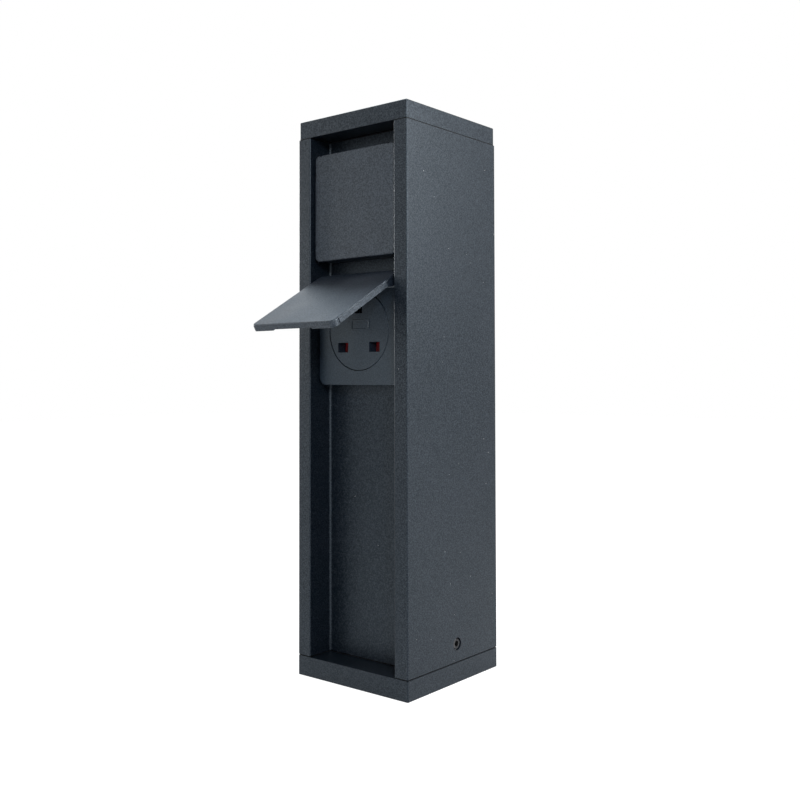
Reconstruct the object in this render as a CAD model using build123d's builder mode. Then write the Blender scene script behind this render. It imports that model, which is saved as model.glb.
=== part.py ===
"""Garden socket post with two three-pin socket modules under flap lids.

The post stands upright. X runs across its front, Y runs into it and Z runs up.
The origin is on the underside of the foot, at the post's axis. Sizes are in millimetres.
"""

import os
from math import pi, radians, sin, tan

from build123d import *

# Post and its front channel
post_width = 77.0
post_height = 300.0
wall = 2.2
post_edge_radius = 0.6
channel_side = 8.75
channel_depth = 15.5
channel_corner_radius = 1.4
web_thickness = 2.2

# Nearness within which a corner counts as the one that is picked
pick_tolerance = 0.01

# Clearance of a screw in a plain hole
running_gap = 0.3

# Screw ports inside the extrusion
port_radius = 4.2
port_hole_radius = 1.85
port_bite = 1.4

# Cap, foot and the seals between them and the post
cap_height = 9.4
cap_inset = 0.4
cap_edge_radius = 0.6
cap_pocket_depth = 5.0
cap_pocket_margin = 8.0
foot_height = 10.3
seal_thickness = 0.6
seal_inset = 0.5

# Lugs that stand up from the foot inside the post
lug_thickness = 5.2
lug_gap = 0.3
side_lug_length = 29.0
side_lug_port_gap = 1.3
side_lug_height = 26.0
front_lug_width = 28.0
front_lug_thickness = 4.2
front_lug_height = 18.0
back_lug_width = 48.0
back_lug_height = 56.0

# Ground fixing holes
ground_hole_radius = 3.3
ground_spacing_x = 42.0
ground_spacing_y = 26.0

# Cable gland in the middle of the foot
gland_thread_radius = 10.0
gland_bore_radius = 7.0
gland_hex_flats = 24.0
gland_collar_height = 5.0
gland_neck_height = 9.0
gland_dome_height = 17.0
gland_dome_wall = 1.6
gland_mouth_radius = 6.0
gland_seal_height = 6.0
gland_seal_bore_radius = 4.8
gland_seal_taper = 0.4
locknut_thickness = 4.6
locknut_recess_radius = 15.5
locknut_recess_depth = 5.6

# Set screws through the side walls into the side lugs
set_screw_radius = 3.0
set_screw_length = 8.0
set_screw_height = 20.1
set_screw_sunk = 0.5
set_screw_key_flats = 3.0
set_screw_key_depth = 3.5

# Cap screws
cap_screw_radius = 1.8
cap_screw_length = 18.0
cap_screw_head_radius = 3.6
countersink_gap = 0.15
cap_screw_key_flats = 2.5
cap_screw_key_depth = 2.2
cap_screw_sunk = 0.1
countersink_angle = 90

# Socket modules: places in the channel
upper_module_drop = 48.5
module_pitch = 66.7

# Module frame
frame_side_gap = 0.75
frame_height = 57.4
frame_corner_radius = 4.5
frame_edge_radius = 0.6
frame_recess = 6.2
frame_seal_thickness = 0.6
frame_seal_inset = 1.0
frame_plate = 2.4
shelf_below_hinge = 2.7
shelf_depth = 4.1
cheek_pocket_below_hinge = 11.2
knuckle_root_drop = 1.6

# Round socket face
face_radius = 20.8
face_gap = 0.4
face_edge_radius = 0.3
face_flange_lip = 3.2
face_flange_thickness = 3.3
face_flat_below_shelf = 1.4

# Three-pin layout and the slots in the face
pin_pitch = 22.2
earth_rise = 22.2
line_drop = 8.7
line_slot_width = 7.3
line_slot_height = 5.2
earth_slot_width = 5.0
earth_slot_height = 8.8

# Rear housing
housing_side_margin = 4.5
housing_end_margin = 4.2
window_gap = 0.7
housing_corner_radius = 3.0
housing_wall = 1.8
housing_reach = 34.6
housing_gap = 0.3
column_radius = 2.9
column_end_margin = 4.1
rib_gap = 0.4
rib_thickness = 1.2
wire_hole_radius = 2.0
screw_hole_radius = 2.6

# Housing screws
housing_screw_radius = 1.2
housing_screw_head_radius = 2.3
housing_screw_head_height = 1.8
housing_screw_bite = 3.4

# Shutter and its spring
shutter_gap = 0.3
shutter_thickness = 2.0
blade_width = 9.6
blade_height = 7.0
stem_width = 6.0
shutter_travel = 6.2
wedge_foot_rise = 4.0
wedge_lip_gap = 0.2
spring_seat_rise = -12.0
spring_seat_thickness = 1.2
spring_seat_depth = 12.4
spring_radius = 2.2
spring_bore_radius = 1.5

# Contacts and their terminals
pin_width = 6.35
pin_height = 3.95
earth_pin_height = 8.0
earth_pin_width = 3.95
leaf_thickness = 0.8
leaf_squeeze = 0.2
line_leaf_gap = 3.1
contact_back_length = 10.0
earth_leaf_gap = 1.1
line_terminal_drop = 6.5
line_terminal_width = 7.0
line_terminal_height = 8.5
earth_terminal_rise = 0.9
earth_terminal_width = 6.2
earth_terminal_height = 8.5
terminal_screw_back = 5.0
terminal_screw_radius = 1.45
terminal_screw_head_radius = 2.3
terminal_screw_head_height = 2.0
terminal_screw_gap = 0.7
thread_gap = 0.05

# Retaining clips
clip_thickness = 0.5
clip_height = 12.0
clip_rear_length = 10.0
clip_spread = 2.7
clip_gap = 0.3

# Lid
lid_side_inset = 0.5
lid_end_proud = 0.15
lid_corner_radius = 2.8
lid_edge_radius = 0.9
lid_recess = 2.3
lid_thickness = 2.0
lid_wall = 1.6
lid_skirt = 3.6
lid_side_skirt = 3.3
lid_side_start = 4.5
lid_notch_width = 27.0
lid_notch_depth = 0.65
lid_band_proud = 0.4
lid_band_start = 14.0
lid_band_foot = 4.5
lid_band_setback = 0.7
lid_slot_width = 1.4
lid_slot_depth = 0.7
lid_slot_inset = 4.4
cheek_thickness = 2.6
cheek_radius = 2.4
cheek_tooth_drop = 11.0
cheek_tooth_length = 3.0
cheek_tooth_depth = 4.75
lid_open_angle = 60.0

# Hinge
hinge_depth = 4.0
hinge_drop = 3.1
hinge_pin_radius = 1.0
hinge_pin_gap = 0.05
hinge_pin_end = 0.9
knuckle_radius = 2.0
knuckle_length = 8.0
knuckle_gap = 0.35
knuckle_side_gap = 0.3

# Lid seal
lid_seal_inset = 0.1
lid_seal_width = 1.8
lid_seal_gap = 0.3

# Terminal block on the back lug
block_width = 48.0
block_height = 16.0
block_depth = 10.2
block_rise = 33.7
block_edge_radius = 0.6
way_pitch = 16.0
way_width = 10.8
insert_depth = 6.8
insert_gap = 0.1
wire_bore_pitch = 5.2
block_screw_across = 8.0
block_screw_radius = 1.4
block_screw_head_radius = 2.3
block_screw_head_height = 1.8
block_screw_bite = 3.0
clamp_screw_radius = 1.3
clamp_screw_sunk = 0.05

# Earth tag on the back lug
tag_thickness = 1.0
tag_ring_radius = 4.5
tag_rise = 17.7
tag_barrel_rise = 22.7
tag_barrel_radius = 2.4
tag_barrel_height = 6.0
earth_screw_radius = 2.0
earth_screw_head_radius = 3.6
earth_screw_head_height = 2.4
earth_screw_bite = 4.0
earth_screw_edge_radius = 0.6

# Wires
wire_radius = 1.5
wire_gap = 0.1
wire_end_inset = 5.6
lower_wire_step = 4.7
wire_slope_height = 36.0
arc_share = 0.45

# Places worked out from the sizes
half_post = post_width / 2
front = -half_post
cavity = half_post - wall
channel_width = post_width - 2 * channel_side
body_bottom = foot_height + seal_thickness
body_top = post_height - cap_height - seal_thickness
web_front = front + channel_depth
web_back = web_front + web_thickness
port_across = cavity + port_bite - port_radius
port_front = web_back - port_bite + port_radius
port_places = [(x, y) for x in (-port_across, port_across) for y in (port_front, port_across)]
side_lug_front = port_front + port_radius + side_lug_port_gap
set_screw_back = side_lug_front + side_lug_length / 2
upper_centre = post_height - upper_module_drop
lower_centre = upper_centre - module_pitch
frame_width = channel_width - 2 * frame_side_gap
frame_front = front + frame_recess
frame_back = web_front - frame_seal_thickness
flange_front = frame_front + frame_plate
flange_back = flange_front + face_flange_thickness
shelf_front = frame_front + shelf_depth
housing_back = flange_back + housing_reach
housing_inner = housing_back - housing_wall
housing_width = frame_width - 2 * housing_side_margin
housing_height = frame_height - 2 * housing_end_margin
half_housing = housing_width / 2
half_housing_height = housing_height / 2
half_chamber = half_housing - housing_wall
half_chamber_height = half_housing_height - housing_wall
window_width = housing_width + 2 * window_gap
window_height = housing_height + 2 * window_gap
column_across = half_housing - column_radius
column_rise = half_housing_height - column_end_margin
face_flange_radius = face_radius + face_flange_lip
shutter_front = flange_back + shutter_gap
shutter_back = shutter_front + shutter_thickness
rib_front = shutter_back + shutter_gap
half_pitch = pin_pitch / 2
earth_height = earth_rise - line_drop
wedge_low = earth_height - earth_pin_height / 2 - wedge_lip_gap
wedge_high = wedge_low + shutter_travel
leaf_back = housing_inner - contact_back_length
line_leaf_front = shutter_back + line_leaf_gap
earth_leaf_front = shutter_back + shutter_travel + earth_leaf_gap
line_terminal = -line_drop - line_terminal_drop
earth_terminal = earth_height + earth_terminal_rise
terminal_screw_depth = housing_inner - terminal_screw_back
lid_width = frame_width - 2 * lid_side_inset
lid_height = frame_height + 2 * lid_end_proud
lid_front = front + lid_recess
hinge_y = lid_front + hinge_depth
hinge_rise = lid_height / 2 - hinge_drop
shelf_rise = hinge_rise - shelf_below_hinge
cheek_pocket_rise = hinge_rise - cheek_pocket_below_hinge
face_flat_rise = shelf_rise - face_flat_below_shelf
lid_seal_radius = face_radius - lid_seal_inset
lid_slot_across = lid_width / 2 - lid_slot_inset
knuckle_end = lid_width / 2 - cheek_thickness - knuckle_side_gap
lug_outer = cavity - lug_gap
lug_inner = lug_outer - lug_thickness
block_back = lug_inner
block_front = block_back - block_depth
block_bottom = foot_height + block_rise
block_top = block_bottom + block_height
insert_middle = (block_front + block_back) / 2
lower_wire_back = insert_middle - lower_wire_step
clamp_screw_length = block_depth / 2 - wire_radius - wire_gap - clamp_screw_sunk
tag_height = foot_height + tag_rise
barrel_height = foot_height + tag_barrel_rise
tag_across = wire_bore_pitch / 2


def facing_front(depth, height=0.0):
    """Plane that faces the front, at a depth and a height."""
    return Plane(origin=(0, depth, height), x_dir=(1, 0, 0), z_dir=(0, -1, 0))


def facing_side(across, depth=0.0, height=0.0):
    """Plane that faces the right, with its axes along the depth and the height."""
    return Plane(origin=(across, depth, height), x_dir=(0, 1, 0), z_dir=(1, 0, 0))


def write_piece(piece, name):
    """Labels a finished piece and writes its STEP file."""
    piece.part.label = name
    export_step(piece.part, f"parts/{name}.step")


def draw_wall_section(inset):
    """Draws the post's wall section inside a sketch, thinned by an inset on every face."""
    Rectangle(post_width - 2 * inset, post_width - 2 * inset)
    Rectangle(2 * (cavity + inset), 2 * (cavity + inset), mode=Mode.SUBTRACT)
    box_width = channel_width + 2 * (wall - inset)
    box_depth = channel_depth + web_thickness - 2 * inset
    with Locations((0, front + inset)):
        Rectangle(box_width, box_depth, align=(Align.CENTER, Align.MIN))
    with Locations((0, front)):
        open_width = channel_width + 2 * inset
        Rectangle(open_width, channel_depth + inset, align=(Align.CENTER, Align.MIN), mode=Mode.SUBTRACT)
    with Locations(*port_places):
        Circle(port_radius - inset)
    with Locations(*port_places):
        Circle(port_hole_radius + inset, mode=Mode.SUBTRACT)


def corners_at(section, across, depth):
    """A section's corners at a depth and at a distance to either side of the middle."""
    return section.vertices().filter_by(
        lambda v: abs(abs(v.X) - across) < pick_tolerance and abs(v.Y - depth) < pick_tolerance
    )


def build_post_body():
    """The extruded post with its front channel, module windows and set screw holes."""
    with BuildPart() as post_body:
        with BuildSketch(Plane.XY.offset(body_bottom)) as section:
            draw_wall_section(0)
            fillet(corners_at(section, half_post, front), post_edge_radius)
            fillet(corners_at(section, half_post, half_post), post_edge_radius)
            fillet(corners_at(section, channel_width / 2, front), post_edge_radius)
            fillet(corners_at(section, channel_width / 2, web_front), channel_corner_radius)
        extrude(amount=body_top - body_bottom)
        for centre in (lower_centre, upper_centre):
            with BuildSketch(facing_front(web_back + wall, centre)):
                Rectangle(window_width, window_height)
            extrude(amount=web_thickness + 2 * wall, mode=Mode.SUBTRACT)
        with BuildSketch(facing_side(-post_width)):
            with Locations((set_screw_back, set_screw_height)):
                Circle(set_screw_radius + running_gap)
        extrude(amount=2 * post_width, mode=Mode.SUBTRACT)
    write_piece(post_body, "post_body")


def build_top_cap():
    """The flat cap with countersunk screw holes and a pocket underneath."""
    cap_width = post_width - 2 * cap_inset
    cap_bottom = post_height - cap_height
    pocket_front = web_back + cap_pocket_margin
    pocket_back = cavity - cap_pocket_margin
    with BuildPart() as top_cap:
        with BuildSketch(Plane.XY.offset(cap_bottom)):
            Rectangle(cap_width, cap_width)
        extrude(amount=cap_height)
        fillet(top_cap.edges().filter_by(Axis.Z), cap_edge_radius)
        fillet(top_cap.faces().sort_by(Axis.Z)[-1].edges(), cap_edge_radius)
        with BuildSketch(Plane.XY.offset(cap_bottom)):
            with Locations((0, (pocket_front + pocket_back) / 2)):
                Rectangle(2 * pocket_back, pocket_back - pocket_front)
        extrude(amount=cap_pocket_depth, mode=Mode.SUBTRACT)
        with Locations(*[(x, y, post_height) for x, y in port_places]):
            CounterSinkHole(
                cap_screw_radius + countersink_gap,
                cap_screw_head_radius + cap_screw_sunk + countersink_gap,
                counter_sink_angle=countersink_angle,
            )
    write_piece(top_cap, "top_cap")


def build_cap_seal():
    """The thin seal between the post and its cap."""
    with BuildPart() as cap_seal:
        with BuildSketch(Plane.XY.offset(body_top)):
            draw_wall_section(seal_inset)
        extrude(amount=seal_thickness)
    write_piece(cap_seal, "cap_seal")


def build_cap_screws():
    """Four countersunk screws that hold the cap to the ports of the post."""
    top = post_height - cap_screw_sunk
    with BuildPart() as cap_screws:
        with BuildSketch(Plane.XY.offset(top)):
            with Locations(*port_places):
                Circle(cap_screw_radius)
        extrude(amount=-cap_screw_length)
        for x, y in port_places:
            with BuildSketch(Plane.XY.offset(top)):
                with Locations((x, y)):
                    Circle(cap_screw_head_radius)
            with BuildSketch(Plane.XY.offset(top - cap_screw_head_radius + cap_screw_radius)):
                with Locations((x, y)):
                    Circle(cap_screw_radius)
            loft()
        with BuildSketch(Plane.XY.offset(top)):
            with Locations(*port_places):
                RegularPolygon(cap_screw_key_flats / 2, 6, major_radius=False)
        extrude(amount=-cap_screw_key_depth, mode=Mode.SUBTRACT)
    write_piece(cap_screws, "cap_screws")


def build_base_foot():
    """The foot: a flush plate with ground holes and a gland hole."""
    with BuildPart() as base_foot:
        with BuildSketch():
            Rectangle(post_width, post_width)
        extrude(amount=foot_height)
        fillet(base_foot.edges().filter_by(Axis.Z), post_edge_radius)
        with BuildSketch():
            Circle(gland_thread_radius + thread_gap)
            with GridLocations(ground_spacing_x, ground_spacing_y, 2, 2):
                Circle(ground_hole_radius)
        extrude(amount=foot_height, mode=Mode.SUBTRACT)
        with BuildSketch():
            Circle(locknut_recess_radius)
        extrude(amount=locknut_recess_depth, mode=Mode.SUBTRACT)
    write_piece(base_foot, "base_foot")


def build_foot_lugs():
    """The four lugs that stand on the foot inside the post and take its screws."""
    side_lug_middle = (lug_inner + lug_outer) / 2
    front_lug_front = web_back + lug_gap
    with BuildPart() as foot_lugs:
        with BuildSketch(Plane.XY.offset(foot_height)):
            with Locations((-side_lug_middle, set_screw_back), (side_lug_middle, set_screw_back)):
                Rectangle(lug_thickness, side_lug_length)
        extrude(amount=side_lug_height)
        with BuildSketch(Plane.XY.offset(foot_height)):
            with Locations((0, front_lug_front)):
                Rectangle(front_lug_width, front_lug_thickness, align=(Align.CENTER, Align.MIN))
        extrude(amount=front_lug_height)
        with BuildSketch(Plane.XY.offset(foot_height)):
            with Locations((0, lug_inner)):
                Rectangle(back_lug_width, lug_thickness, align=(Align.CENTER, Align.MIN))
        extrude(amount=back_lug_height)
        with BuildSketch(facing_side(-post_width)):
            with Locations((set_screw_back, set_screw_height)):
                Circle(set_screw_radius + thread_gap)
        extrude(amount=2 * post_width, mode=Mode.SUBTRACT)
        with BuildSketch(facing_front(lug_inner + earth_screw_bite)):
            with Locations((tag_across, tag_height)):
                Circle(earth_screw_radius + thread_gap)
        extrude(amount=earth_screw_bite, mode=Mode.SUBTRACT)
        with BuildSketch(facing_front(lug_inner + block_screw_bite)):
            with Locations(*block_screw_places()):
                Circle(block_screw_radius + thread_gap)
        extrude(amount=block_screw_bite, mode=Mode.SUBTRACT)
    write_piece(foot_lugs, "foot_lugs")


def block_screw_places():
    """Places of the two screws that hold the terminal block to the back lug."""
    middle = block_bottom + block_height / 2
    return [(-block_screw_across, middle), (block_screw_across, middle)]


def build_foot_seal():
    """The thin seal between the foot and the post."""
    with BuildPart() as foot_seal:
        with BuildSketch(Plane.XY.offset(foot_height)):
            draw_wall_section(seal_inset)
        extrude(amount=seal_thickness)
    write_piece(foot_seal, "foot_seal")


def build_set_screws():
    """Two socket set screws that hold the post on the foot, one on each side."""
    outer = half_post - set_screw_sunk
    with BuildPart() as set_screws:
        for side in (-1, 1):
            outward = Plane(
                origin=(side * outer, set_screw_back, set_screw_height),
                x_dir=(0, 1, 0),
                z_dir=(side, 0, 0),
            )
            with BuildSketch(outward):
                Circle(set_screw_radius)
            extrude(amount=-set_screw_length)
            with BuildSketch(outward):
                RegularPolygon(set_screw_key_flats / 2, 6, major_radius=False)
            extrude(amount=-set_screw_key_depth, mode=Mode.SUBTRACT)
        rims = set_screws.edges().filter_by(GeomType.CIRCLE).group_by(lambda e: abs(e.center().X))[-1]
        chamfer(rims, set_screw_sunk)
    write_piece(set_screws, "set_screws")


def build_cable_gland():
    """The gland's body, dome nut, rubber seal and locknut, about the post's axis."""
    neck_top = foot_height + gland_collar_height + gland_neck_height
    nut_bottom = foot_height + gland_collar_height + running_gap
    nut_top = nut_bottom + gland_dome_height
    hex_top = nut_bottom + gland_neck_height
    body_low = locknut_recess_depth - locknut_thickness
    with BuildPart() as gland_body:
        with BuildSketch(Plane.XY.offset(foot_height)):
            RegularPolygon(gland_hex_flats / 2, 6, major_radius=False)
        extrude(amount=gland_collar_height)
        with BuildSketch(Plane.XY.offset(body_low)):
            Circle(gland_thread_radius)
        extrude(amount=neck_top - body_low)
        with BuildSketch(Plane.XY.offset(body_low)):
            Circle(gland_bore_radius)
        extrude(amount=neck_top - body_low, mode=Mode.SUBTRACT)
    write_piece(gland_body, "gland_body")

    with BuildPart() as gland_dome_nut:
        with BuildSketch(Plane.XY.offset(nut_bottom)):
            RegularPolygon(gland_hex_flats / 2, 6, major_radius=False)
        extrude(amount=hex_top - nut_bottom)
        with BuildSketch(Plane.XY.offset(hex_top)):
            Circle(gland_hex_flats / 2)
        with BuildSketch(Plane.XY.offset(nut_top)):
            Circle(gland_mouth_radius + gland_dome_wall)
        loft()
        with BuildSketch(Plane.XY.offset(nut_bottom)):
            Circle(gland_thread_radius + thread_gap)
        extrude(amount=neck_top - nut_bottom, mode=Mode.SUBTRACT)
        with BuildSketch(Plane.XY.offset(neck_top)):
            Circle(gland_thread_radius + thread_gap)
        with BuildSketch(Plane.XY.offset(nut_top)):
            Circle(gland_mouth_radius)
        loft(mode=Mode.SUBTRACT)
    write_piece(gland_dome_nut, "gland_dome_nut")

    with BuildPart() as gland_seal:
        with BuildSketch(Plane.XY.offset(neck_top)):
            Circle(gland_thread_radius - gland_dome_wall)
        with BuildSketch(Plane.XY.offset(neck_top + gland_seal_height)):
            Circle(gland_mouth_radius - gland_seal_taper)
        loft()
        with BuildSketch(Plane.XY.offset(neck_top)):
            Circle(gland_seal_bore_radius)
        extrude(amount=gland_seal_height, mode=Mode.SUBTRACT)
    write_piece(gland_seal, "gland_seal")

    with BuildPart() as gland_locknut:
        with BuildSketch(Plane.XY.offset(body_low)):
            RegularPolygon(gland_hex_flats / 2, 6, major_radius=False)
            Circle(gland_thread_radius + thread_gap, mode=Mode.SUBTRACT)
        extrude(amount=locknut_thickness)
    write_piece(gland_locknut, "gland_locknut")


def build_terminal_block():
    """The three-way terminal block, its brass inserts and its screws, on the back lug."""
    ways = [-way_pitch, 0, way_pitch]
    bores = [way + side * wire_bore_pitch / 2 for way in ways for side in (-1, 1)]
    middle = block_bottom + block_height / 2
    insert_front = insert_middle - insert_depth / 2
    with BuildPart() as terminal_block:
        with BuildSketch(facing_front(block_back, middle)):
            Rectangle(block_width, block_height)
        extrude(amount=block_depth)
        fillet(terminal_block.edges().filter_by(Axis.Y), block_edge_radius)
        with BuildSketch(Plane.XY.offset(block_bottom)):
            with Locations(*[(way, insert_middle) for way in ways]):
                Rectangle(way_width, insert_depth)
        extrude(amount=block_height, mode=Mode.SUBTRACT)
        with BuildSketch(facing_front(insert_front)):
            with Locations(*[(bore, middle) for bore in bores]):
                Circle(clamp_screw_radius + running_gap)
        extrude(amount=block_depth, mode=Mode.SUBTRACT)
        with BuildSketch(facing_front(block_back)):
            with Locations(*block_screw_places()):
                Circle(block_screw_radius + thread_gap)
        extrude(amount=block_depth, mode=Mode.SUBTRACT)
        with BuildSketch(facing_front(insert_middle)):
            with Locations(*block_screw_places()):
                Circle(block_screw_head_radius + thread_gap)
        extrude(amount=block_depth, mode=Mode.SUBTRACT)
    write_piece(terminal_block, "terminal_block")

    with BuildPart() as terminal_inserts:
        with BuildSketch(Plane.XY.offset(block_bottom)):
            with Locations(*[(way, insert_middle) for way in ways]):
                Rectangle(way_width - 2 * insert_gap, insert_depth - 2 * insert_gap)
            with Locations(*[(bore, insert_middle) for bore in bores]):
                Circle(wire_radius + wire_gap, mode=Mode.SUBTRACT)
        extrude(amount=block_height)
        with BuildSketch(facing_front(insert_middle - wire_radius)):
            with Locations(*[(bore, middle) for bore in bores]):
                Circle(clamp_screw_radius + thread_gap)
        extrude(amount=block_depth, mode=Mode.SUBTRACT)
    write_piece(terminal_inserts, "terminal_inserts")

    with BuildPart() as clamp_screws:
        with BuildSketch(facing_front(insert_middle - wire_radius - wire_gap)):
            with Locations(*[(bore, middle) for bore in bores]):
                Circle(clamp_screw_radius)
        extrude(amount=clamp_screw_length)
    write_piece(clamp_screws, "clamp_screws")

    with BuildPart() as block_screws:
        with BuildSketch(facing_front(lug_inner + block_screw_bite)):
            with Locations(*block_screw_places()):
                Circle(block_screw_radius)
        extrude(amount=block_screw_bite + block_back - insert_middle)
        with BuildSketch(facing_front(insert_middle)):
            with Locations(*block_screw_places()):
                Circle(block_screw_head_radius)
        extrude(amount=block_screw_head_height)
    write_piece(block_screws, "block_screws")


def build_earth_tag():
    """The earth tag, its screw into the back lug and its crimp barrel."""
    tag_face = lug_inner - tag_thickness
    with BuildPart() as earth_tag:
        with BuildSketch(facing_front(lug_inner)):
            with Locations((tag_across, tag_height)):
                Circle(tag_ring_radius)
            with Locations((tag_across, tag_height)):
                Rectangle(
                    2 * tag_barrel_radius, barrel_height - tag_height, align=(Align.CENTER, Align.MIN)
                )
            with Locations((tag_across, tag_height)):
                Circle(earth_screw_radius + thread_gap, mode=Mode.SUBTRACT)
        extrude(amount=tag_thickness)
        with BuildSketch(Plane.XY.offset(barrel_height - tag_thickness)):
            with Locations((tag_across, insert_middle)):
                Circle(tag_barrel_radius)
            with Locations((tag_across, (insert_middle + lug_inner) / 2)):
                Rectangle(2 * tag_barrel_radius, lug_inner - insert_middle)
        extrude(amount=tag_thickness)
        with BuildSketch(Plane.XY.offset(barrel_height)):
            with Locations((tag_across, insert_middle)):
                Circle(tag_barrel_radius)
                Circle(wire_radius + wire_gap, mode=Mode.SUBTRACT)
        extrude(amount=tag_barrel_height)
    write_piece(earth_tag, "earth_tag")

    with BuildPart() as earth_screw:
        with BuildSketch(facing_front(lug_inner + earth_screw_bite)):
            with Locations((tag_across, tag_height)):
                Circle(earth_screw_radius)
        extrude(amount=earth_screw_bite + tag_thickness)
        with BuildSketch(facing_front(tag_face)):
            with Locations((tag_across, tag_height)):
                Circle(earth_screw_head_radius)
        extrude(amount=earth_screw_head_height)
        fillet(earth_screw.faces().sort_by(Axis.Y)[0].edges(), earth_screw_edge_radius)
    write_piece(earth_screw, "earth_screw")


def corner_radii(points):
    """Arc radii for a wire's corners, each as large as its two runs allow."""
    radii = []
    for before, here, after in zip(points, points[1:], points[2:]):
        arrive = Vector(here) - Vector(before)
        leave = Vector(after) - Vector(here)
        half_turn = radians(arrive.get_angle(leave) / 2)
        radii.append(arc_share * min(arrive.length, leave.length) / tan(half_turn))
    return radii


def sweep_wire(points):
    """One wire along straight runs and tangent arcs, as a part to add."""
    with BuildPart(mode=Mode.PRIVATE) as wire:
        with BuildLine() as route:
            FilletPolyline(*points, radius=corner_radii(points))
        path = route.wire()
        with BuildSketch(Plane(origin=path @ 0, z_dir=path % 0)):
            Circle(wire_radius)
        sweep(path=path)
    radii = [round(radius, 1) for radius in corner_radii(points)]
    fullness = wire.part.volume / (pi * wire_radius**2 * path.length)
    print(f"wire {path.length:.1f} mm long, radii {radii}, volume {fullness:.4f} of section times length")
    return wire.part


def terminal_wire(across, rise, centre, back, bore):
    """Points of a wire from a module's terminal down to its bore in the terminal block."""
    height = centre + rise
    return [
        (across, housing_inner - wire_end_inset, height),
        (across, back, height),
        (bore, insert_middle, height - wire_slope_height),
        (bore, insert_middle, block_top - wire_end_inset),
    ]


def build_wires():
    """The live, neutral and earth wires from the terminal block to both modules."""
    runs = {
        "live_wires": (half_pitch, line_terminal, way_pitch, 1),
        "neutral_wires": (-half_pitch, line_terminal, -way_pitch, -1),
        "earth_wires": (0, earth_terminal, 0, 1),
    }
    for name, (across, rise, way, outward) in runs.items():
        near = way - outward * wire_bore_pitch / 2
        far = way + outward * wire_bore_pitch / 2
        lower = sweep_wire(terminal_wire(across, rise, lower_centre, lower_wire_back, near))
        upper = sweep_wire(terminal_wire(across, rise, upper_centre, insert_middle, far))
        with BuildPart() as wires:
            add(lower)
            add(upper)
            if name == "earth_wires":
                with BuildSketch(Plane.XY.offset(barrel_height)):
                    with Locations((tag_across, insert_middle)):
                        Circle(wire_radius)
                extrude(amount=block_bottom + wire_end_inset - barrel_height)
        write_piece(wires, name)


def build_module_frame(place, centre):
    """The square frame of a module: pockets for the face, the housing and the hinge."""
    hinge_height = centre + hinge_rise
    root_front = lid_thickness + knuckle_gap - hinge_depth
    root_height = -shelf_below_hinge - knuckle_root_drop
    with BuildPart() as module_frame:
        with BuildSketch(facing_front(frame_back, centre)):
            RectangleRounded(frame_width, frame_height, frame_corner_radius)
        extrude(amount=frame_back - frame_front)
        fillet(module_frame.faces().sort_by(Axis.Y)[0].edges(), frame_edge_radius)
        with BuildSketch(facing_front(shelf_front, centre)):
            with Locations((0, shelf_rise)):
                Rectangle(frame_width, frame_height, align=(Align.CENTER, Align.MIN))
            with Locations((-knuckle_end, cheek_pocket_rise)):
                Rectangle(frame_width, frame_height, align=(Align.MAX, Align.MIN))
            with Locations((knuckle_end, cheek_pocket_rise)):
                Rectangle(frame_width, frame_height, align=(Align.MIN, Align.MIN))
        extrude(amount=shelf_depth, mode=Mode.SUBTRACT)
        for side in (-1, 1):
            knuckle_middle = side * (knuckle_end - knuckle_length / 2)
            with BuildSketch(facing_side(knuckle_middle, hinge_y, hinge_height)):
                Circle(knuckle_radius)
                with BuildLine():
                    Polyline(
                        (root_front, 0),
                        (root_front, -knuckle_radius),
                        (frame_front - hinge_y, root_height),
                        (knuckle_radius, root_height),
                        (knuckle_radius, 0),
                        close=True,
                    )
                make_face()
                Circle(hinge_pin_radius + thread_gap, mode=Mode.SUBTRACT)
            extrude(amount=knuckle_length / 2, both=True)
        with BuildSketch(facing_front(flange_front, centre)):
            Circle(face_radius + face_gap)
        extrude(amount=frame_plate, mode=Mode.SUBTRACT)
        with BuildSketch(facing_front(flange_back, centre)):
            draw_face_flange(housing_gap)
        extrude(amount=face_flange_thickness, mode=Mode.SUBTRACT)
        with BuildSketch(facing_front(frame_back, centre)):
            Rectangle(housing_width + 2 * housing_gap, housing_height + 2 * housing_gap)
        extrude(amount=frame_back - flange_back, mode=Mode.SUBTRACT)
        with BuildSketch(facing_front(flange_back, centre)):
            with GridLocations(2 * column_across, 2 * column_rise, 2, 2):
                Circle(housing_screw_radius + thread_gap)
        extrude(amount=housing_screw_bite, mode=Mode.SUBTRACT)
    write_piece(module_frame, f"{place}_module_frame")


def draw_face_flange(gap):
    """Draws the round flange with its flat at the top, enlarged by a gap."""
    radius = face_flange_radius + gap
    Circle(radius)
    with Locations((0, face_flat_rise + gap)):
        Rectangle(2 * radius, radius, align=(Align.CENTER, Align.MIN), mode=Mode.SUBTRACT)


def build_frame_seal(place, centre):
    """The seal between a module frame and the back wall of the channel."""
    seal_width = frame_width - 2 * frame_seal_inset
    seal_height = frame_height - 2 * frame_seal_inset
    with BuildPart() as frame_seal:
        with BuildSketch(facing_front(web_front, centre)):
            RectangleRounded(seal_width, seal_height, frame_corner_radius)
            Rectangle(window_width, window_height, mode=Mode.SUBTRACT)
        extrude(amount=frame_seal_thickness)
    write_piece(frame_seal, f"{place}_frame_seal")


def draw_pin_slots():
    """Draws the live, neutral and earth slots about the module's centre."""
    with Locations((-half_pitch, -line_drop), (half_pitch, -line_drop)):
        Rectangle(line_slot_width, line_slot_height)
    with Locations((0, earth_height)):
        Rectangle(earth_slot_width, earth_slot_height)


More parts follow.
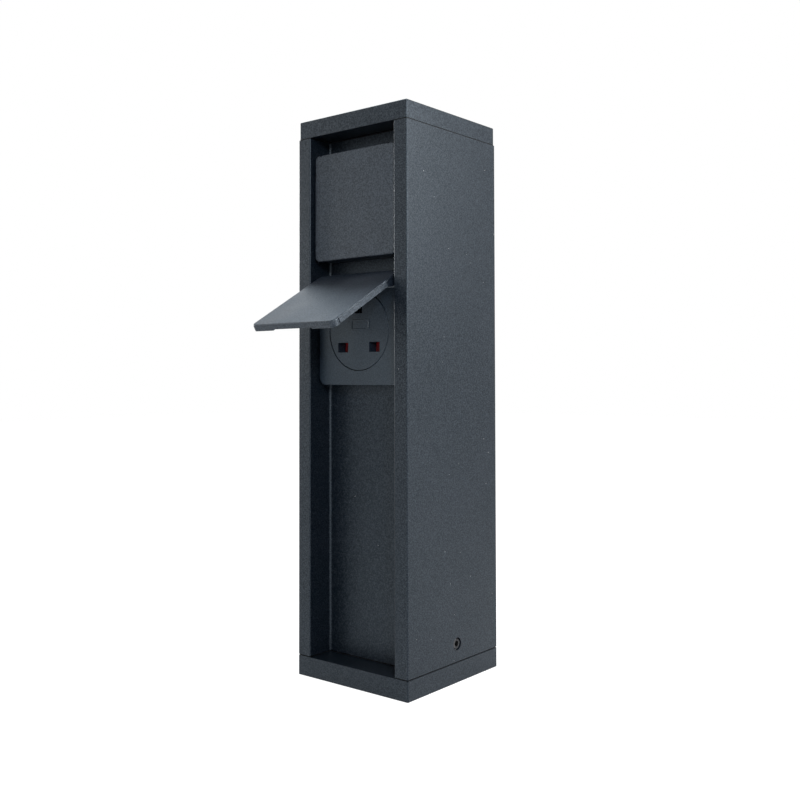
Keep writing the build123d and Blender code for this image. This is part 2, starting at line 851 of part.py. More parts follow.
def build_socket_face(place, centre):
    """The round face with its three slots, flush in the frame, and its keyed flange."""
    with BuildPart() as socket_face:
        with BuildSketch(facing_front(flange_back, centre)):
            draw_face_flange(0)
        extrude(amount=face_flange_thickness)
        with BuildSketch(facing_front(flange_front, centre)):
            Circle(face_radius)
        extrude(amount=frame_plate)
        rim = socket_face.faces().sort_by(Axis.Y)[0].edges()
        fillet(rim, face_edge_radius)
        with BuildSketch(facing_front(flange_back, centre)):
            draw_pin_slots()
        extrude(amount=face_flange_thickness + frame_plate, mode=Mode.SUBTRACT)
    write_piece(socket_face, f"{place}_socket_face")


def build_rear_housing(place, centre):
    """The box behind the face, with screw columns, shutter ribs and a spring seat."""
    rib_across = stem_width / 2 + rib_gap + rib_thickness / 2
    rib_top = wedge_high + wedge_lip_gap
    with BuildPart() as rear_housing:
        with BuildSketch(facing_front(housing_back, centre)):
            RectangleRounded(housing_width, housing_height, housing_corner_radius)
        extrude(amount=housing_back - flange_back)
        with BuildSketch(facing_front(housing_inner, centre)):
            Rectangle(2 * half_chamber, 2 * half_chamber_height)
        extrude(amount=housing_inner - flange_back, mode=Mode.SUBTRACT)
        with BuildSketch(facing_front(housing_back, centre)):
            with GridLocations(2 * column_across, 2 * column_rise, 2, 2):
                Circle(column_radius)
        extrude(amount=housing_back - flange_back)
        with BuildSketch(facing_front(housing_back, centre)):
            with Locations((-rib_across, -half_chamber_height), (rib_across, -half_chamber_height)):
                Rectangle(rib_thickness, half_chamber_height + rib_top, align=(Align.CENTER, Align.MIN))
        extrude(amount=housing_back - rib_front)
        with BuildSketch(facing_front(rib_front + spring_seat_depth, centre)):
            with Locations((0, spring_seat_rise)):
                Rectangle(2 * rib_across, spring_seat_thickness)
        extrude(amount=spring_seat_depth)
        with BuildSketch(facing_front(housing_back, centre)):
            with GridLocations(2 * column_across, 2 * column_rise, 2, 2):
                Circle(housing_screw_radius + running_gap)
        extrude(amount=housing_back - flange_back, mode=Mode.SUBTRACT)
        with BuildSketch(facing_front(housing_back, centre)):
            with Locations((-half_pitch, line_terminal), (half_pitch, line_terminal)):
                Circle(wire_hole_radius)
            with Locations((0, earth_terminal)):
                Circle(wire_hole_radius)
        extrude(amount=housing_wall, mode=Mode.SUBTRACT)
        with BuildSketch(Plane.XY.offset(centre - half_housing_height)):
            with Locations((-half_pitch, terminal_screw_depth), (half_pitch, terminal_screw_depth)):
                Circle(screw_hole_radius)
        extrude(amount=housing_wall, mode=Mode.SUBTRACT)
        with BuildSketch(Plane.XY.offset(centre + half_chamber_height)):
            with Locations((0, terminal_screw_depth)):
                Circle(screw_hole_radius)
        extrude(amount=housing_wall, mode=Mode.SUBTRACT)
    write_piece(rear_housing, f"{place}_rear_housing")


def build_housing_screws(place, centre):
    """Four long screws that pull the rear housing against the frame."""
    with BuildPart() as housing_screws:
        with BuildSketch(facing_front(housing_back, centre)):
            with GridLocations(2 * column_across, 2 * column_rise, 2, 2):
                Circle(housing_screw_radius)
        extrude(amount=housing_back - flange_back + housing_screw_bite)
        with BuildSketch(facing_front(housing_back + housing_screw_head_height, centre)):
            with GridLocations(2 * column_across, 2 * column_rise, 2, 2):
                Circle(housing_screw_head_radius)
        extrude(amount=housing_screw_head_height)
    write_piece(housing_screws, f"{place}_housing_screws")


def build_retaining_clips(place, centre):
    """Two spring leaves on the housing's sides that catch behind the web."""
    catch = web_back + clip_gap
    rear = catch + clip_rear_length
    with BuildPart() as retaining_clips:
        for side in (-1, 1):
            inner = side * half_housing
            outer = side * (half_housing + clip_thickness)
            tip = side * (half_housing + clip_spread)
            far_tip = side * (half_housing + clip_spread + clip_thickness)
            with BuildSketch(Plane.XY.offset(centre - clip_height / 2)):
                with BuildLine():
                    Polyline(
                        (inner, frame_back),
                        (outer, frame_back),
                        (outer, rear - 2 * clip_thickness),
                        (tip, catch),
                        (far_tip, catch),
                        (outer + side * clip_thickness / 2, rear),
                        (inner, rear),
                        close=True,
                    )
                make_face()
            extrude(amount=clip_height)
    write_piece(retaining_clips, f"{place}_retaining_clips")


def build_shutter(place, centre):
    """The sliding shutter: two blades, a stem and a wedge that the earth pin presses."""
    blade_low = -line_drop - blade_height / 2
    with BuildPart() as shutter:
        with BuildSketch(facing_front(shutter_back, centre)):
            with Locations((0, -line_drop)):
                Rectangle(pin_pitch + blade_width, blade_height)
            with Locations((0, blade_low)):
                Rectangle(stem_width, wedge_low - blade_low, align=(Align.CENTER, Align.MIN))
        extrude(amount=shutter_thickness)
        with BuildSketch(facing_side(0, shutter_back, centre)):
            with BuildLine():
                Polyline(
                    (-shutter_thickness / 2, wedge_foot_rise),
                    (-shutter_thickness / 2, wedge_low),
                    (0, wedge_low),
                    (shutter_travel, wedge_high),
                    (shutter_travel, wedge_foot_rise),
                    close=True,
                )
            make_face()
        extrude(amount=stem_width / 2, both=True)
    write_piece(shutter, f"{place}_shutter")


def build_shutter_spring(place, centre):
    """The return spring of the shutter, as a sleeve of the coil's size."""
    bottom = spring_seat_rise + spring_seat_thickness / 2
    with BuildPart() as shutter_spring:
        with BuildSketch(Plane.XY.offset(centre + bottom)):
            with Locations((0, shutter_back + shutter_travel / 2)):
                Circle(spring_radius)
                Circle(spring_bore_radius, mode=Mode.SUBTRACT)
        extrude(amount=wedge_foot_rise - bottom)
    write_piece(shutter_spring, f"{place}_shutter_spring")


def build_line_contact(name, side, centre):
    """A live or neutral contact: two leaves that grip the pin and a screw terminal."""
    gap = pin_height - leaf_squeeze
    leaf_offset = (gap + leaf_thickness) / 2
    across = side * half_pitch
    low = line_terminal - line_terminal_height / 2
    high = -line_drop + gap / 2 + leaf_thickness
    with BuildPart() as contact:
        with BuildSketch(facing_front(leaf_back, centre)):
            with Locations((across, -line_drop - leaf_offset), (across, -line_drop + leaf_offset)):
                Rectangle(pin_width, leaf_thickness)
        extrude(amount=leaf_back - line_leaf_front)
        with BuildSketch(facing_front(leaf_back + leaf_thickness, centre)):
            with Locations((across, (low + high) / 2)):
                Rectangle(pin_width, high - low)
        extrude(amount=leaf_thickness)
        with BuildSketch(facing_front(housing_inner, centre)):
            with Locations((across, line_terminal)):
                Rectangle(line_terminal_width, line_terminal_height)
        extrude(amount=contact_back_length)
        with BuildSketch(facing_front(housing_inner, centre)):
            with Locations((across, line_terminal)):
                Circle(wire_radius + wire_gap)
        extrude(amount=wire_end_inset + wire_radius, mode=Mode.SUBTRACT)
        with BuildSketch(Plane.XY.offset(centre + low)):
            with Locations((across, terminal_screw_depth)):
                Circle(terminal_screw_radius + thread_gap)
        extrude(amount=line_terminal_height / 2, mode=Mode.SUBTRACT)
    write_piece(contact, name)


def build_earth_contact(place, centre):
    """The earth contact: two upright leaves and a screw terminal."""
    leaf_offset = (earth_pin_width - leaf_squeeze + leaf_thickness) / 2
    high = earth_terminal + earth_terminal_height / 2
    with BuildPart() as earth_contact:
        with BuildSketch(facing_front(leaf_back, centre)):
            with Locations((-leaf_offset, earth_height), (leaf_offset, earth_height)):
                Rectangle(leaf_thickness, earth_pin_height)
        extrude(amount=leaf_back - earth_leaf_front)
        with BuildSketch(facing_front(leaf_back + leaf_thickness, centre)):
            with Locations((0, earth_height)):
                Rectangle(2 * leaf_offset + leaf_thickness, earth_pin_height)
        extrude(amount=leaf_thickness)
        with BuildSketch(facing_front(housing_inner, centre)):
            with Locations((0, earth_terminal)):
                Rectangle(earth_terminal_width, earth_terminal_height)
        extrude(amount=contact_back_length)
        with BuildSketch(facing_front(housing_inner, centre)):
            with Locations((0, earth_terminal)):
                Circle(wire_radius + wire_gap)
        extrude(amount=wire_end_inset + wire_radius, mode=Mode.SUBTRACT)
        with BuildSketch(Plane.XY.offset(centre + high)):
            with Locations((0, terminal_screw_depth)):
                Circle(terminal_screw_radius + thread_gap)
        extrude(amount=-earth_terminal_height / 2, mode=Mode.SUBTRACT)
    write_piece(earth_contact, f"{place}_earth_contact")


def build_terminal_screws(place, centre):
    """The three clamping screws of a module: live, neutral and earth."""
    line_end = line_terminal - wire_radius - wire_gap
    line_head = line_terminal - line_terminal_height / 2 - terminal_screw_gap
    earth_end = earth_terminal + wire_radius + wire_gap
    earth_head = earth_terminal + earth_terminal_height / 2 + terminal_screw_gap
    with BuildPart() as terminal_screws:
        with BuildSketch(Plane.XY.offset(centre + line_end)):
            with Locations((-half_pitch, terminal_screw_depth), (half_pitch, terminal_screw_depth)):
                Circle(terminal_screw_radius)
        extrude(amount=line_head - line_end)
        with BuildSketch(Plane.XY.offset(centre + line_head)):
            with Locations((-half_pitch, terminal_screw_depth), (half_pitch, terminal_screw_depth)):
                Circle(terminal_screw_head_radius)
        extrude(amount=-terminal_screw_head_height)
        with BuildSketch(Plane.XY.offset(centre + earth_end)):
            with Locations((0, terminal_screw_depth)):
                Circle(terminal_screw_radius)
        extrude(amount=earth_head - earth_end)
        with BuildSketch(Plane.XY.offset(centre + earth_head)):
            with Locations((0, terminal_screw_depth)):
                Circle(terminal_screw_head_radius)
        extrude(amount=terminal_screw_head_height)
    write_piece(terminal_screws, f"{place}_terminal_screws")


def opened(part, centre, angle):
    """A lid part turned about its hinge by an opening angle."""
    return part.rotate(Axis((0, hinge_y, centre + hinge_rise), (-1, 0, 0)), angle)


def build_lid(place, centre, angle):
    """The flap lid, drawn shut and then opened by its angle."""
    half_width = lid_width / 2
    half_height = lid_height / 2
    deepest = hinge_depth + cheek_radius
    tooth = half_height - cheek_tooth_drop
    side_start = lid_side_start - half_height
    arc_middle = cheek_radius * sin(radians(45))
    band_depth = lid_side_skirt - lid_band_setback
    band_height = lid_height - lid_band_start - lid_band_foot
    tray_height = half_height + tooth - lid_wall
    with BuildPart() as lid:
        with BuildSketch(facing_front(lid_front + deepest, centre)):
            RectangleRounded(lid_width, lid_height, lid_corner_radius)
        extrude(amount=deepest)
        fillet(lid.faces().sort_by(Axis.Y)[0].edges(), lid_edge_radius)
        for side in (-1, 1):
            with BuildSketch(facing_side(side * half_width, lid_front, centre)):
                with Locations((lid_band_setback, half_height - lid_band_start)):
                    Rectangle(band_depth, band_height, align=(Align.MIN, Align.MAX))
            extrude(amount=side * lid_band_proud)
        with BuildSketch(facing_front(lid_front + deepest, centre)):
            with Locations((0, lid_wall - half_height)):
                Rectangle(lid_width - 2 * lid_wall, tray_height, align=(Align.CENTER, Align.MIN))
            Rectangle(lid_width - 2 * cheek_thickness, lid_height, align=(Align.CENTER, Align.MIN))
        extrude(amount=deepest - lid_thickness, mode=Mode.SUBTRACT)
        with BuildSketch(facing_side(0, lid_front, centre)):
            with BuildLine():
                Polyline(
                    (deepest, hinge_rise),
                    (cheek_tooth_depth, tooth),
                    (lid_side_skirt, tooth - cheek_tooth_length),
                    (lid_side_skirt, side_start),
                    (lid_skirt, side_start),
                    (lid_skirt, -lid_height),
                    (2 * deepest, -lid_height),
                    (2 * deepest, lid_height),
                    (lid_thickness, lid_height),
                    (lid_thickness, hinge_rise + cheek_radius),
                    (hinge_depth, hinge_rise + cheek_radius),
                )
                ThreePointArc(
                    (hinge_depth, hinge_rise + cheek_radius),
                    (hinge_depth + arc_middle, hinge_rise + arc_middle),
                    (deepest, hinge_rise),
                )
            make_face()
        extrude(amount=lid_width, both=True, mode=Mode.SUBTRACT)
        with BuildSketch(facing_front(lid_front + deepest, centre)):
            with Locations((0, -lid_height)):
                Rectangle(lid_notch_width, lid_height / 2 + lid_wall, align=(Align.CENTER, Align.MIN))
        extrude(amount=deepest - lid_skirt + lid_notch_depth, mode=Mode.SUBTRACT)
        with BuildSketch(facing_front(lid_front + deepest, centre)):
            with Locations((-lid_slot_across, half_height), (lid_slot_across, half_height)):
                Rectangle(lid_slot_width, 2 * lid_slot_depth)
        extrude(amount=deepest, mode=Mode.SUBTRACT)
        for side in (-1, 1):
            knuckle_middle = side * (knuckle_end - knuckle_length / 2)
            with BuildSketch(facing_side(knuckle_middle, hinge_y, centre + hinge_rise)):
                Circle(knuckle_radius + knuckle_gap)
            extrude(amount=knuckle_length / 2 + knuckle_side_gap, both=True, mode=Mode.SUBTRACT)
            with BuildSketch(facing_side(0, hinge_y, centre + hinge_rise)):
                Circle(hinge_pin_radius + hinge_pin_gap)
            extrude(amount=side * (half_width - hinge_pin_end + knuckle_gap), mode=Mode.SUBTRACT)
    lid.part = opened(lid.part, centre, angle)
    write_piece(lid, f"{place}_lid")


def build_lid_seal(place, centre, angle):
    """The round seal inside the lid that closes on the rim of the socket face."""
    with BuildPart() as lid_seal:
        with BuildSketch(facing_front(frame_front - lid_seal_gap, centre)):
            Circle(lid_seal_radius)
            Circle(lid_seal_radius - lid_seal_width, mode=Mode.SUBTRACT)
        extrude(amount=frame_front - lid_seal_gap - lid_front - lid_thickness)
    lid_seal.part = opened(lid_seal.part, centre, angle)
    write_piece(lid_seal, f"{place}_lid_seal")


def build_hinge_pins(place, centre):
    """Two short hinge pins, from the frame's knuckles into the lid's cheeks."""
    inner = knuckle_end - knuckle_length
    outer = lid_width / 2 - hinge_pin_end
    with BuildPart() as hinge_pins:
        for side in (-1, 1):
            with BuildSketch(facing_side(side * inner, hinge_y, centre + hinge_rise)):
                Circle(hinge_pin_radius)
            extrude(amount=side * (outer - inner))
    write_piece(hinge_pins, f"{place}_hinge_pins")


def build_module(place, centre, angle):
    """One socket module with its lid at an opening angle."""
    build_module_frame(place, centre)
    build_frame_seal(place, centre)
    build_socket_face(place, centre)
    build_rear_housing(place, centre)
    build_housing_screws(place, centre)
    build_retaining_clips(place, centre)
    build_shutter(place, centre)
    build_shutter_spring(place, centre)
    build_line_contact(f"{place}_live_contact", 1, centre)
    build_line_contact(f"{place}_neutral_contact", -1, centre)
    build_earth_contact(place, centre)
    build_terminal_screws(place, centre)
    build_hinge_pins(place, centre)
    build_lid(place, centre, angle)
    build_lid_seal(place, centre, angle)


os.makedirs("parts", exist_ok=True)
build_post_body()
build_top_cap()
build_cap_seal()
build_cap_screws()
build_base_foot()
build_foot_lugs()
build_foot_seal()
build_set_screws()
build_cable_gland()
build_terminal_block()
build_earth_tag()
build_wires()
build_module("lower", lower_centre, lid_open_angle)
build_module("upper", upper_centre, 0)
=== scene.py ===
"""Dresses the garden socket post: its finishes, fine parts, studio and camera.

Lengths are in metres where no comment says millimetres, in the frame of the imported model:
X runs across the post's front, Y runs into it and Z runs up from the foot's underside.
"""

import logging
import math
from dataclasses import dataclass
from enum import Enum

import bmesh
import bpy
from mathutils import Matrix, Vector


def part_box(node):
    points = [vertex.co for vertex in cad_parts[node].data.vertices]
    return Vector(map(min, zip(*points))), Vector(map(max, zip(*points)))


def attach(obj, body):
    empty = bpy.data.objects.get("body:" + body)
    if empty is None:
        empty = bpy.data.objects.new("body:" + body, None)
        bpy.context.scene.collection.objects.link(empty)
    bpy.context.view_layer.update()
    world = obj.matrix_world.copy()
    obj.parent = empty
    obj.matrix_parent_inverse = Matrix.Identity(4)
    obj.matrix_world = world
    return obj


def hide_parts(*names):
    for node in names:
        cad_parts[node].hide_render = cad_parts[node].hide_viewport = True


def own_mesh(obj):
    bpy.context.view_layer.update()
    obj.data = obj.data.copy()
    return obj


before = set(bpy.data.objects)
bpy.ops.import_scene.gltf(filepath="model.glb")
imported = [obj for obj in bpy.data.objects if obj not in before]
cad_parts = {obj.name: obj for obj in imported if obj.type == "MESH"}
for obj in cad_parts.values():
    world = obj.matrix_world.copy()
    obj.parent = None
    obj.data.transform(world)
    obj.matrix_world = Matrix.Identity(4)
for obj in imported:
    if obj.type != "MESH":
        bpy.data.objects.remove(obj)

MM = 0.001
LOG = logging.getLogger("garden_socket")

Colour = tuple[float, float, float, float]
Point = tuple[float, float, float]
Span = tuple[float, float]
Values = dict[str | int, object]

# The body that stands still, which every piece made here rides on
STANDING_BODY = "post"

# Spans of a value: all of it, where nearly all of a noise lies, and the middle of a noise
WHOLE: Span = (0.0, 1.0)
NOISE_SPAN: Span = (0.3, 0.7)
NOISE_MIDDLE: Span = (0.35, 0.65)
NOISE_ROUGHNESS = 0.55


class Slot(Enum):
    """The record's material slots."""

    POWDER_COAT = "powder_coat"
    LID = "lid_plastic"
    FACE = "face_plastic"
    SHUTTER = "shutter_plastic"
    HOUSING = "housing_plastic"
    GLAND = "gland_plastic"
    BLOCK = "block_plastic"
    SEAL = "seal_rubber"
    ZINC = "zinc_steel"
    BLACK_STEEL = "black_steel"
    SPRING = "spring_steel"
    BRASS = "brass"
    BROWN = "wire_brown"
    BLUE = "wire_blue"
    GREEN = "wire_green"


class Place(Enum):
    """The two socket modules in the channel."""

    LOWER = "lower"
    UPPER = "upper"


# The height of each module's face centre, in millimetres
MODULE_CENTRES = {Place.LOWER: 184.8, Place.UPPER: 251.5}


def grey(level: float) -> Colour:
    """Returns an opaque grey of one level."""
    return (level, level, level, 1.0)


def around(middle: float, share: float) -> Span:
    """Spreads a value to both sides.

    Args:
        middle: the value in the middle.
        share: how far the ends lie from it, as a share of it.

    Returns:
        The lower and the upper end.
    """
    return (middle * (1 - share), middle * (1 + share))


class Graph:
    """A node tree that is drawn up by adding nodes and joining them."""

    def __init__(self, tree: bpy.types.NodeTree) -> None:
        """Starts on a tree.

        Args:
            tree: the material's, world's or Geometry Nodes' tree to draw in.
        """
        self.tree = tree

    def add(self, kind: str, inputs: Values | None = None, **settings: object) -> bpy.types.Node:
        """Adds a node.

        Args:
            kind: the node's type name.
            inputs: values or sockets for its inputs, by the inputs' names or numbers.
            **settings: values for its own properties.

        Returns:
            The new node.
        """
        node = self.tree.nodes.new(kind)
        for name, value in settings.items():
            setattr(node, name, value)
        for name, value in (inputs or {}).items():
            self.put(node.inputs[name], value)
        return node

    def put(self, socket: bpy.types.NodeSocket, value: object) -> None:
        """Links a socket to another socket, or sets its own value.

        Args:
            socket: the input to fill.
            value: an output socket, or a plain value.
        """
        if isinstance(value, bpy.types.NodeSocket):
            self.tree.links.new(value, socket)
        else:
            socket.default_value = value

    def noise(self, where: bpy.types.NodeSocket, size: float,
              detail: float = 2.0) -> bpy.types.NodeSocket:
        """Adds a noise.

        Args:
            where: the coordinates that it follows.
            size: the size of its blotches.
            detail: how many finer layers it has.

        Returns:
            Its factor.
        """
        inputs = {"Vector": where, "Scale": 1 / size, "Detail": detail, "Roughness": NOISE_ROUGHNESS}
        return self.add("ShaderNodeTexNoise", inputs).outputs[0]

    def spread(self, value: bpy.types.NodeSocket, span: Span, to: Span = WHOLE) -> bpy.types.NodeSocket:
        """Maps a value from one span to another, held at the ends.

        Args:
            value: the value to map.
            span: the ends of the span that it comes from.
            to: the ends of the span that it goes to.

        Returns:
            The mapped value.
        """
        inputs = {"Value": value, "From Min": span[0], "From Max": span[1],
                  "To Min": to[0], "To Max": to[1]}
        return self.add("ShaderNodeMapRange", inputs).outputs[0]

    def maths(self, operation: str, first: object, second: object = 0.0) -> bpy.types.NodeSocket:
        """Works out one value from two.

        Args:
            operation: the name of the sum, such as ADD.
            first: the first value or socket.
            second: the second value or socket.

        Returns:
            The result.
        """
        return self.add("ShaderNodeMath", {0: first, 1: second}, operation=operation).outputs[0]

    def blend(self, factor: object, first: object, second: object) -> bpy.types.NodeSocket:
        """Mixes two colours.

        Args:
            factor: how far the mix goes from the first colour to the second.
            first: a colour or socket.
            second: a colour or socket.

        Returns:
            The mixed colour.
        """
        node = self.add("ShaderNodeMix", {0: factor, 6: first, 7: second}, data_type="RGBA")
        return node.outputs[2]

    def weigh(self, first: bpy.types.NodeSocket, second: bpy.types.NodeSocket,
              part: float) -> bpy.types.NodeSocket:
        """Adds up two values by their shares.

        Args:
            first: the value that gets the rest.
            second: the value that gets the part.
            part: the second value's share.

        Returns:
            The sum.
        """
        return self.maths("ADD", self.maths("MULTIPLY", first, 1 - part),
                          self.maths("MULTIPLY", second, part))

    def relief(self, height: bpy.types.NodeSocket, depth: float,
               strength: float = 1.0) -> bpy.types.NodeSocket:
        """Turns heights into a surface's normals.

        Args:
            height: how high each spot stands, from 0 to 1.
            depth: how deep that is in full.
            strength: how much of it counts.

        Returns:
            The normals.
        """
        inputs = {"Strength": strength, "Distance": depth, "Height": height}
        return self.add("ShaderNodeBump", inputs).outputs[0]


def new_material(name: str) -> tuple[bpy.types.Material, Graph, bpy.types.NodeSocket]:
    """Starts a material with an empty tree.

    Args:
        name: the material's name.

    Returns:
        The material, its graph, and the object coordinates to read patterns from.
    """
    material = bpy.data.materials.new(name)
    material.use_nodes = True
    material.node_tree.nodes.clear()
    graph = Graph(material.node_tree)
    return material, graph, graph.add("ShaderNodeTexCoord").outputs["Object"]


def finish_material(graph: Graph, shader: Values) -> None:
    """Adds the surface shader and the output.

    Args:
        graph: the material's graph.
        shader: the surface shader's inputs.
    """
    surface = graph.add("ShaderNodeBsdfPrincipled", shader)
    graph.add("ShaderNodeOutputMaterial", {"Surface": surface.outputs[0]})


@dataclass(frozen=True)
class PowderCoat:
    """Fine-textured powder coat on metal, with pale flecks and a little dust.

    Attributes:
        name: the material's name.
        dark: the colour in the low spots.
        light: the colour on the high spots.
        fleck: the colour of the pale flecks in it.
        dust: the colour of stray dust.
        tint: the colour of its gloss.
        grain: the size of the texture's bumps.
        fine_grain: the size of the finest grain and of the flecks.
        fine_share: the fine grain's share in the texture.
        blotch: the size of the slow change in tone.
        drift: how far that change shifts the tone.
        tone_span: the tones that go from dark to light.
        fleck_span: the values of the fine grain at which flecks begin and are full.
        bump: how deep the texture is.
        gloss: the least and the greatest roughness.
        shine: how strong the gloss is.
        sparkle: the share of the gloss that changes from grain to grain.
        dust_gap: the size of the cells that may hold a speck of dust.
        dust_size: the share of a cell that its speck reaches.
        clean_share: the share of cells that stay clean.
    """

    name: str = "powder_coat"
    dark: Colour = (0.0, 0.002, 0.005, 1.0)
    light: Colour = (0.003, 0.005, 0.009, 1.0)
    fleck: Colour = (0.01, 0.013, 0.018, 1.0)
    dust: Colour = (0.32, 0.32, 0.33, 1.0)
    tint: Colour = (0.72, 0.87, 1.0, 1.0)
    grain: float = 1.5 * MM
    fine_grain: float = 0.65 * MM
    fine_share: float = 0.35
    blotch: float = 38 * MM
    drift: float = 0.12
    tone_span: Span = (0.34, 0.66)
    fleck_span: Span = (0.57, 0.72)
    bump: float = 0.05 * MM
    gloss: Span = (0.34, 0.5)
    shine: float = 0.42
    sparkle: float = 0.34
    dust_gap: float = 5.5 * MM
    dust_size: float = 0.035
    clean_share: float = 0.93

    def material(self) -> bpy.types.Material:
        """Builds the finish.

        Returns:
            The material.
        """
        material, graph, where = new_material(self.name)
        grain = graph.noise(where, self.grain, 3.0)
        fine = graph.noise(where, self.fine_grain, 1.0)
        slow = graph.noise(where, self.blotch)
        height = graph.weigh(grain, fine, self.fine_share)
        tone = graph.maths("ADD", height, graph.spread(slow, NOISE_SPAN, (-self.drift, self.drift)))
        colour = graph.blend(graph.spread(tone, self.tone_span), self.dark, self.light)
        flecked = graph.blend(graph.spread(fine, self.fleck_span), colour, self.fleck)
        finish_material(graph, {
            "Base Color": graph.blend(self.dusty(graph, where), flecked, self.dust),
            "Roughness": graph.spread(fine, NOISE_SPAN, self.gloss),
            "Specular IOR Level": graph.spread(fine, NOISE_MIDDLE, around(self.shine, self.sparkle)),
            "Specular Tint": self.tint,
            "Normal": graph.relief(height, self.bump),
        })
        return material

    def dusty(self, graph: Graph, where: bpy.types.NodeSocket) -> bpy.types.NodeSocket:
        """Strews specks of dust.

        Args:
            graph: the material's graph.
            where: the coordinates that they follow.

        Returns:
            1 on a speck and 0 elsewhere.
        """
        cells = graph.add("ShaderNodeTexVoronoi", {"Vector": where, "Scale": 1 / self.dust_gap})
        speck = graph.maths("LESS_THAN", cells.outputs["Distance"], self.dust_size)
        pick = graph.add("ShaderNodeSeparateColor", {0: cells.outputs["Color"]}).outputs[0]
        return graph.maths("MULTIPLY", speck, graph.maths("GREATER_THAN", pick, self.clean_share))


@dataclass(frozen=True)
class MouldedPlastic:
    """Moulded plastic with a spark-eroded texture.

    Attributes:
        name: the material's name.
        dark: the colour in the low spots.
        light: the colour on the high spots.
        grain: the size of the texture's bumps.
        bump: how deep the texture is.
        relief: how much of that depth counts.
        flow: the size of the slow change from the plastic's flow.
        flow_share: that change's share in the tone.
        gloss: the least and the greatest roughness.
        tint: the colour of its gloss.
        shine: how strong the gloss is.
        sparkle: the share of the gloss that changes from grain to grain.
    """

    name: str
    dark: Colour
    light: Colour
    grain: float = 0.45 * MM
    bump: float = 0.02 * MM
    relief: float = 0.8
    flow: float = 22 * MM
    flow_share: float = 0.2
    gloss: Span = (0.38, 0.5)
    tint: Colour = grey(1.0)
    shine: float = 0.5
    sparkle: float = 0.15

    def material(self) -> bpy.types.Material:
        """Builds the finish.

        Returns:
            The material.
        """
        material, graph, where = new_material(self.name)
        grain = graph.noise(where, self.grain)
        flow = graph.noise(where, self.flow, 1.0)
        tone = graph.weigh(grain, flow, self.flow_share)
        finish_material(graph, {
            "Base Color": graph.blend(graph.spread(tone, NOISE_MIDDLE), self.dark, self.light),
            "Roughness": graph.spread(flow, NOISE_SPAN, self.gloss),
            "Specular IOR Level": graph.spread(grain, NOISE_MIDDLE, around(self.shine, self.sparkle)),
            "Specular Tint": self.tint,
            "Normal": graph.relief(grain, self.bump, self.relief),
        })
        return material


@dataclass(frozen=True)
class SoftRubber:
    """Matte black rubber with a faint bloom.

    Attributes:
        name: the material's name.
        base: the rubber's colour.
        bloom: the colour of the pale bloom on it.
        shine: how strong its gloss is.
        patch: the size of the bloom's patches.
        bloom_span: the values of the patches at which the bloom begins and is full.
        gloss: the least and the greatest roughness.
        pore: the size of its pores.
        pore_depth: how deep they are.
        relief: how much of that depth counts.
    """

    name: str = "seal_rubber"
    base: Colour = grey(0.003)
    bloom: Colour = (0.014, 0.014, 0.015, 1.0)
    shine: float = 0.12
    patch: float = 4 * MM
    bloom_span: Span = (0.45, 0.75)
    gloss: Span = (0.6, 0.78)
    pore: float = 0.3 * MM
    pore_depth: float = 0.02 * MM
    relief: float = 0.5

    def material(self) -> bpy.types.Material:
        """Builds the finish.

        Returns:
            The material.
        """
        material, graph, where = new_material(self.name)
        patch = graph.noise(where, self.patch, 3.0)
        finish_material(graph, {
            "Base Color": graph.blend(graph.spread(patch, self.bloom_span), self.base, self.bloom),
            "Roughness": graph.spread(patch, NOISE_SPAN, self.gloss),
            "Specular IOR Level": self.shine,
            "Normal": graph.relief(graph.noise(where, self.pore), self.pore_depth, self.relief),
        })
        return material


@dataclass(frozen=True)
class PlatedMetal:
    """Metal with drawn or turned marks and dull patches.

    Attributes:
        name: the material's name.
        bright: the colour where it is clean.
        dull: the colour where it is dulled.
        gloss: the least and the greatest roughness.
        metallic: how much it shines as a metal.
        patch: the size of the dull patches.
        dull_span: the values of the patches at which they begin and are full.
        mark: the size of the drawn or turned marks.
        squeeze: how closely the marks lie along Z.
        bump: how deep the marks are.
        relief: how much of that depth counts.
    """

    name: str
    bright: Colour
    dull: Colour
    gloss: Span = (0.22, 0.42)
    metallic: float = 1.0
    patch: float = 3 * MM
    dull_span: Span = (0.35, 0.7)
    mark: float = 0.9 * MM
    squeeze: float = 12.0
    bump: float = 0.015 * MM
    relief: float = 0.3

    def material(self) -> bpy.types.Material:
        """Builds the finish.

        Returns:
            The material.
        """
        material, graph, where = new_material(self.name)
        patch = graph.noise(where, self.patch, 3.0)
        inputs = {"Vector": where, "Scale": (1.0, 1.0, self.squeeze)}
        marks = graph.noise(graph.add("ShaderNodeMapping", inputs).outputs[0], self.mark)
        finish_material(graph, {
            "Base Color": graph.blend(graph.spread(patch, self.dull_span), self.bright, self.dull),
            "Roughness": graph.spread(marks, NOISE_SPAN, self.gloss),
            "Metallic": self.metallic,
            "Normal": graph.relief(marks, self.bump, self.relief),
        })
        return material


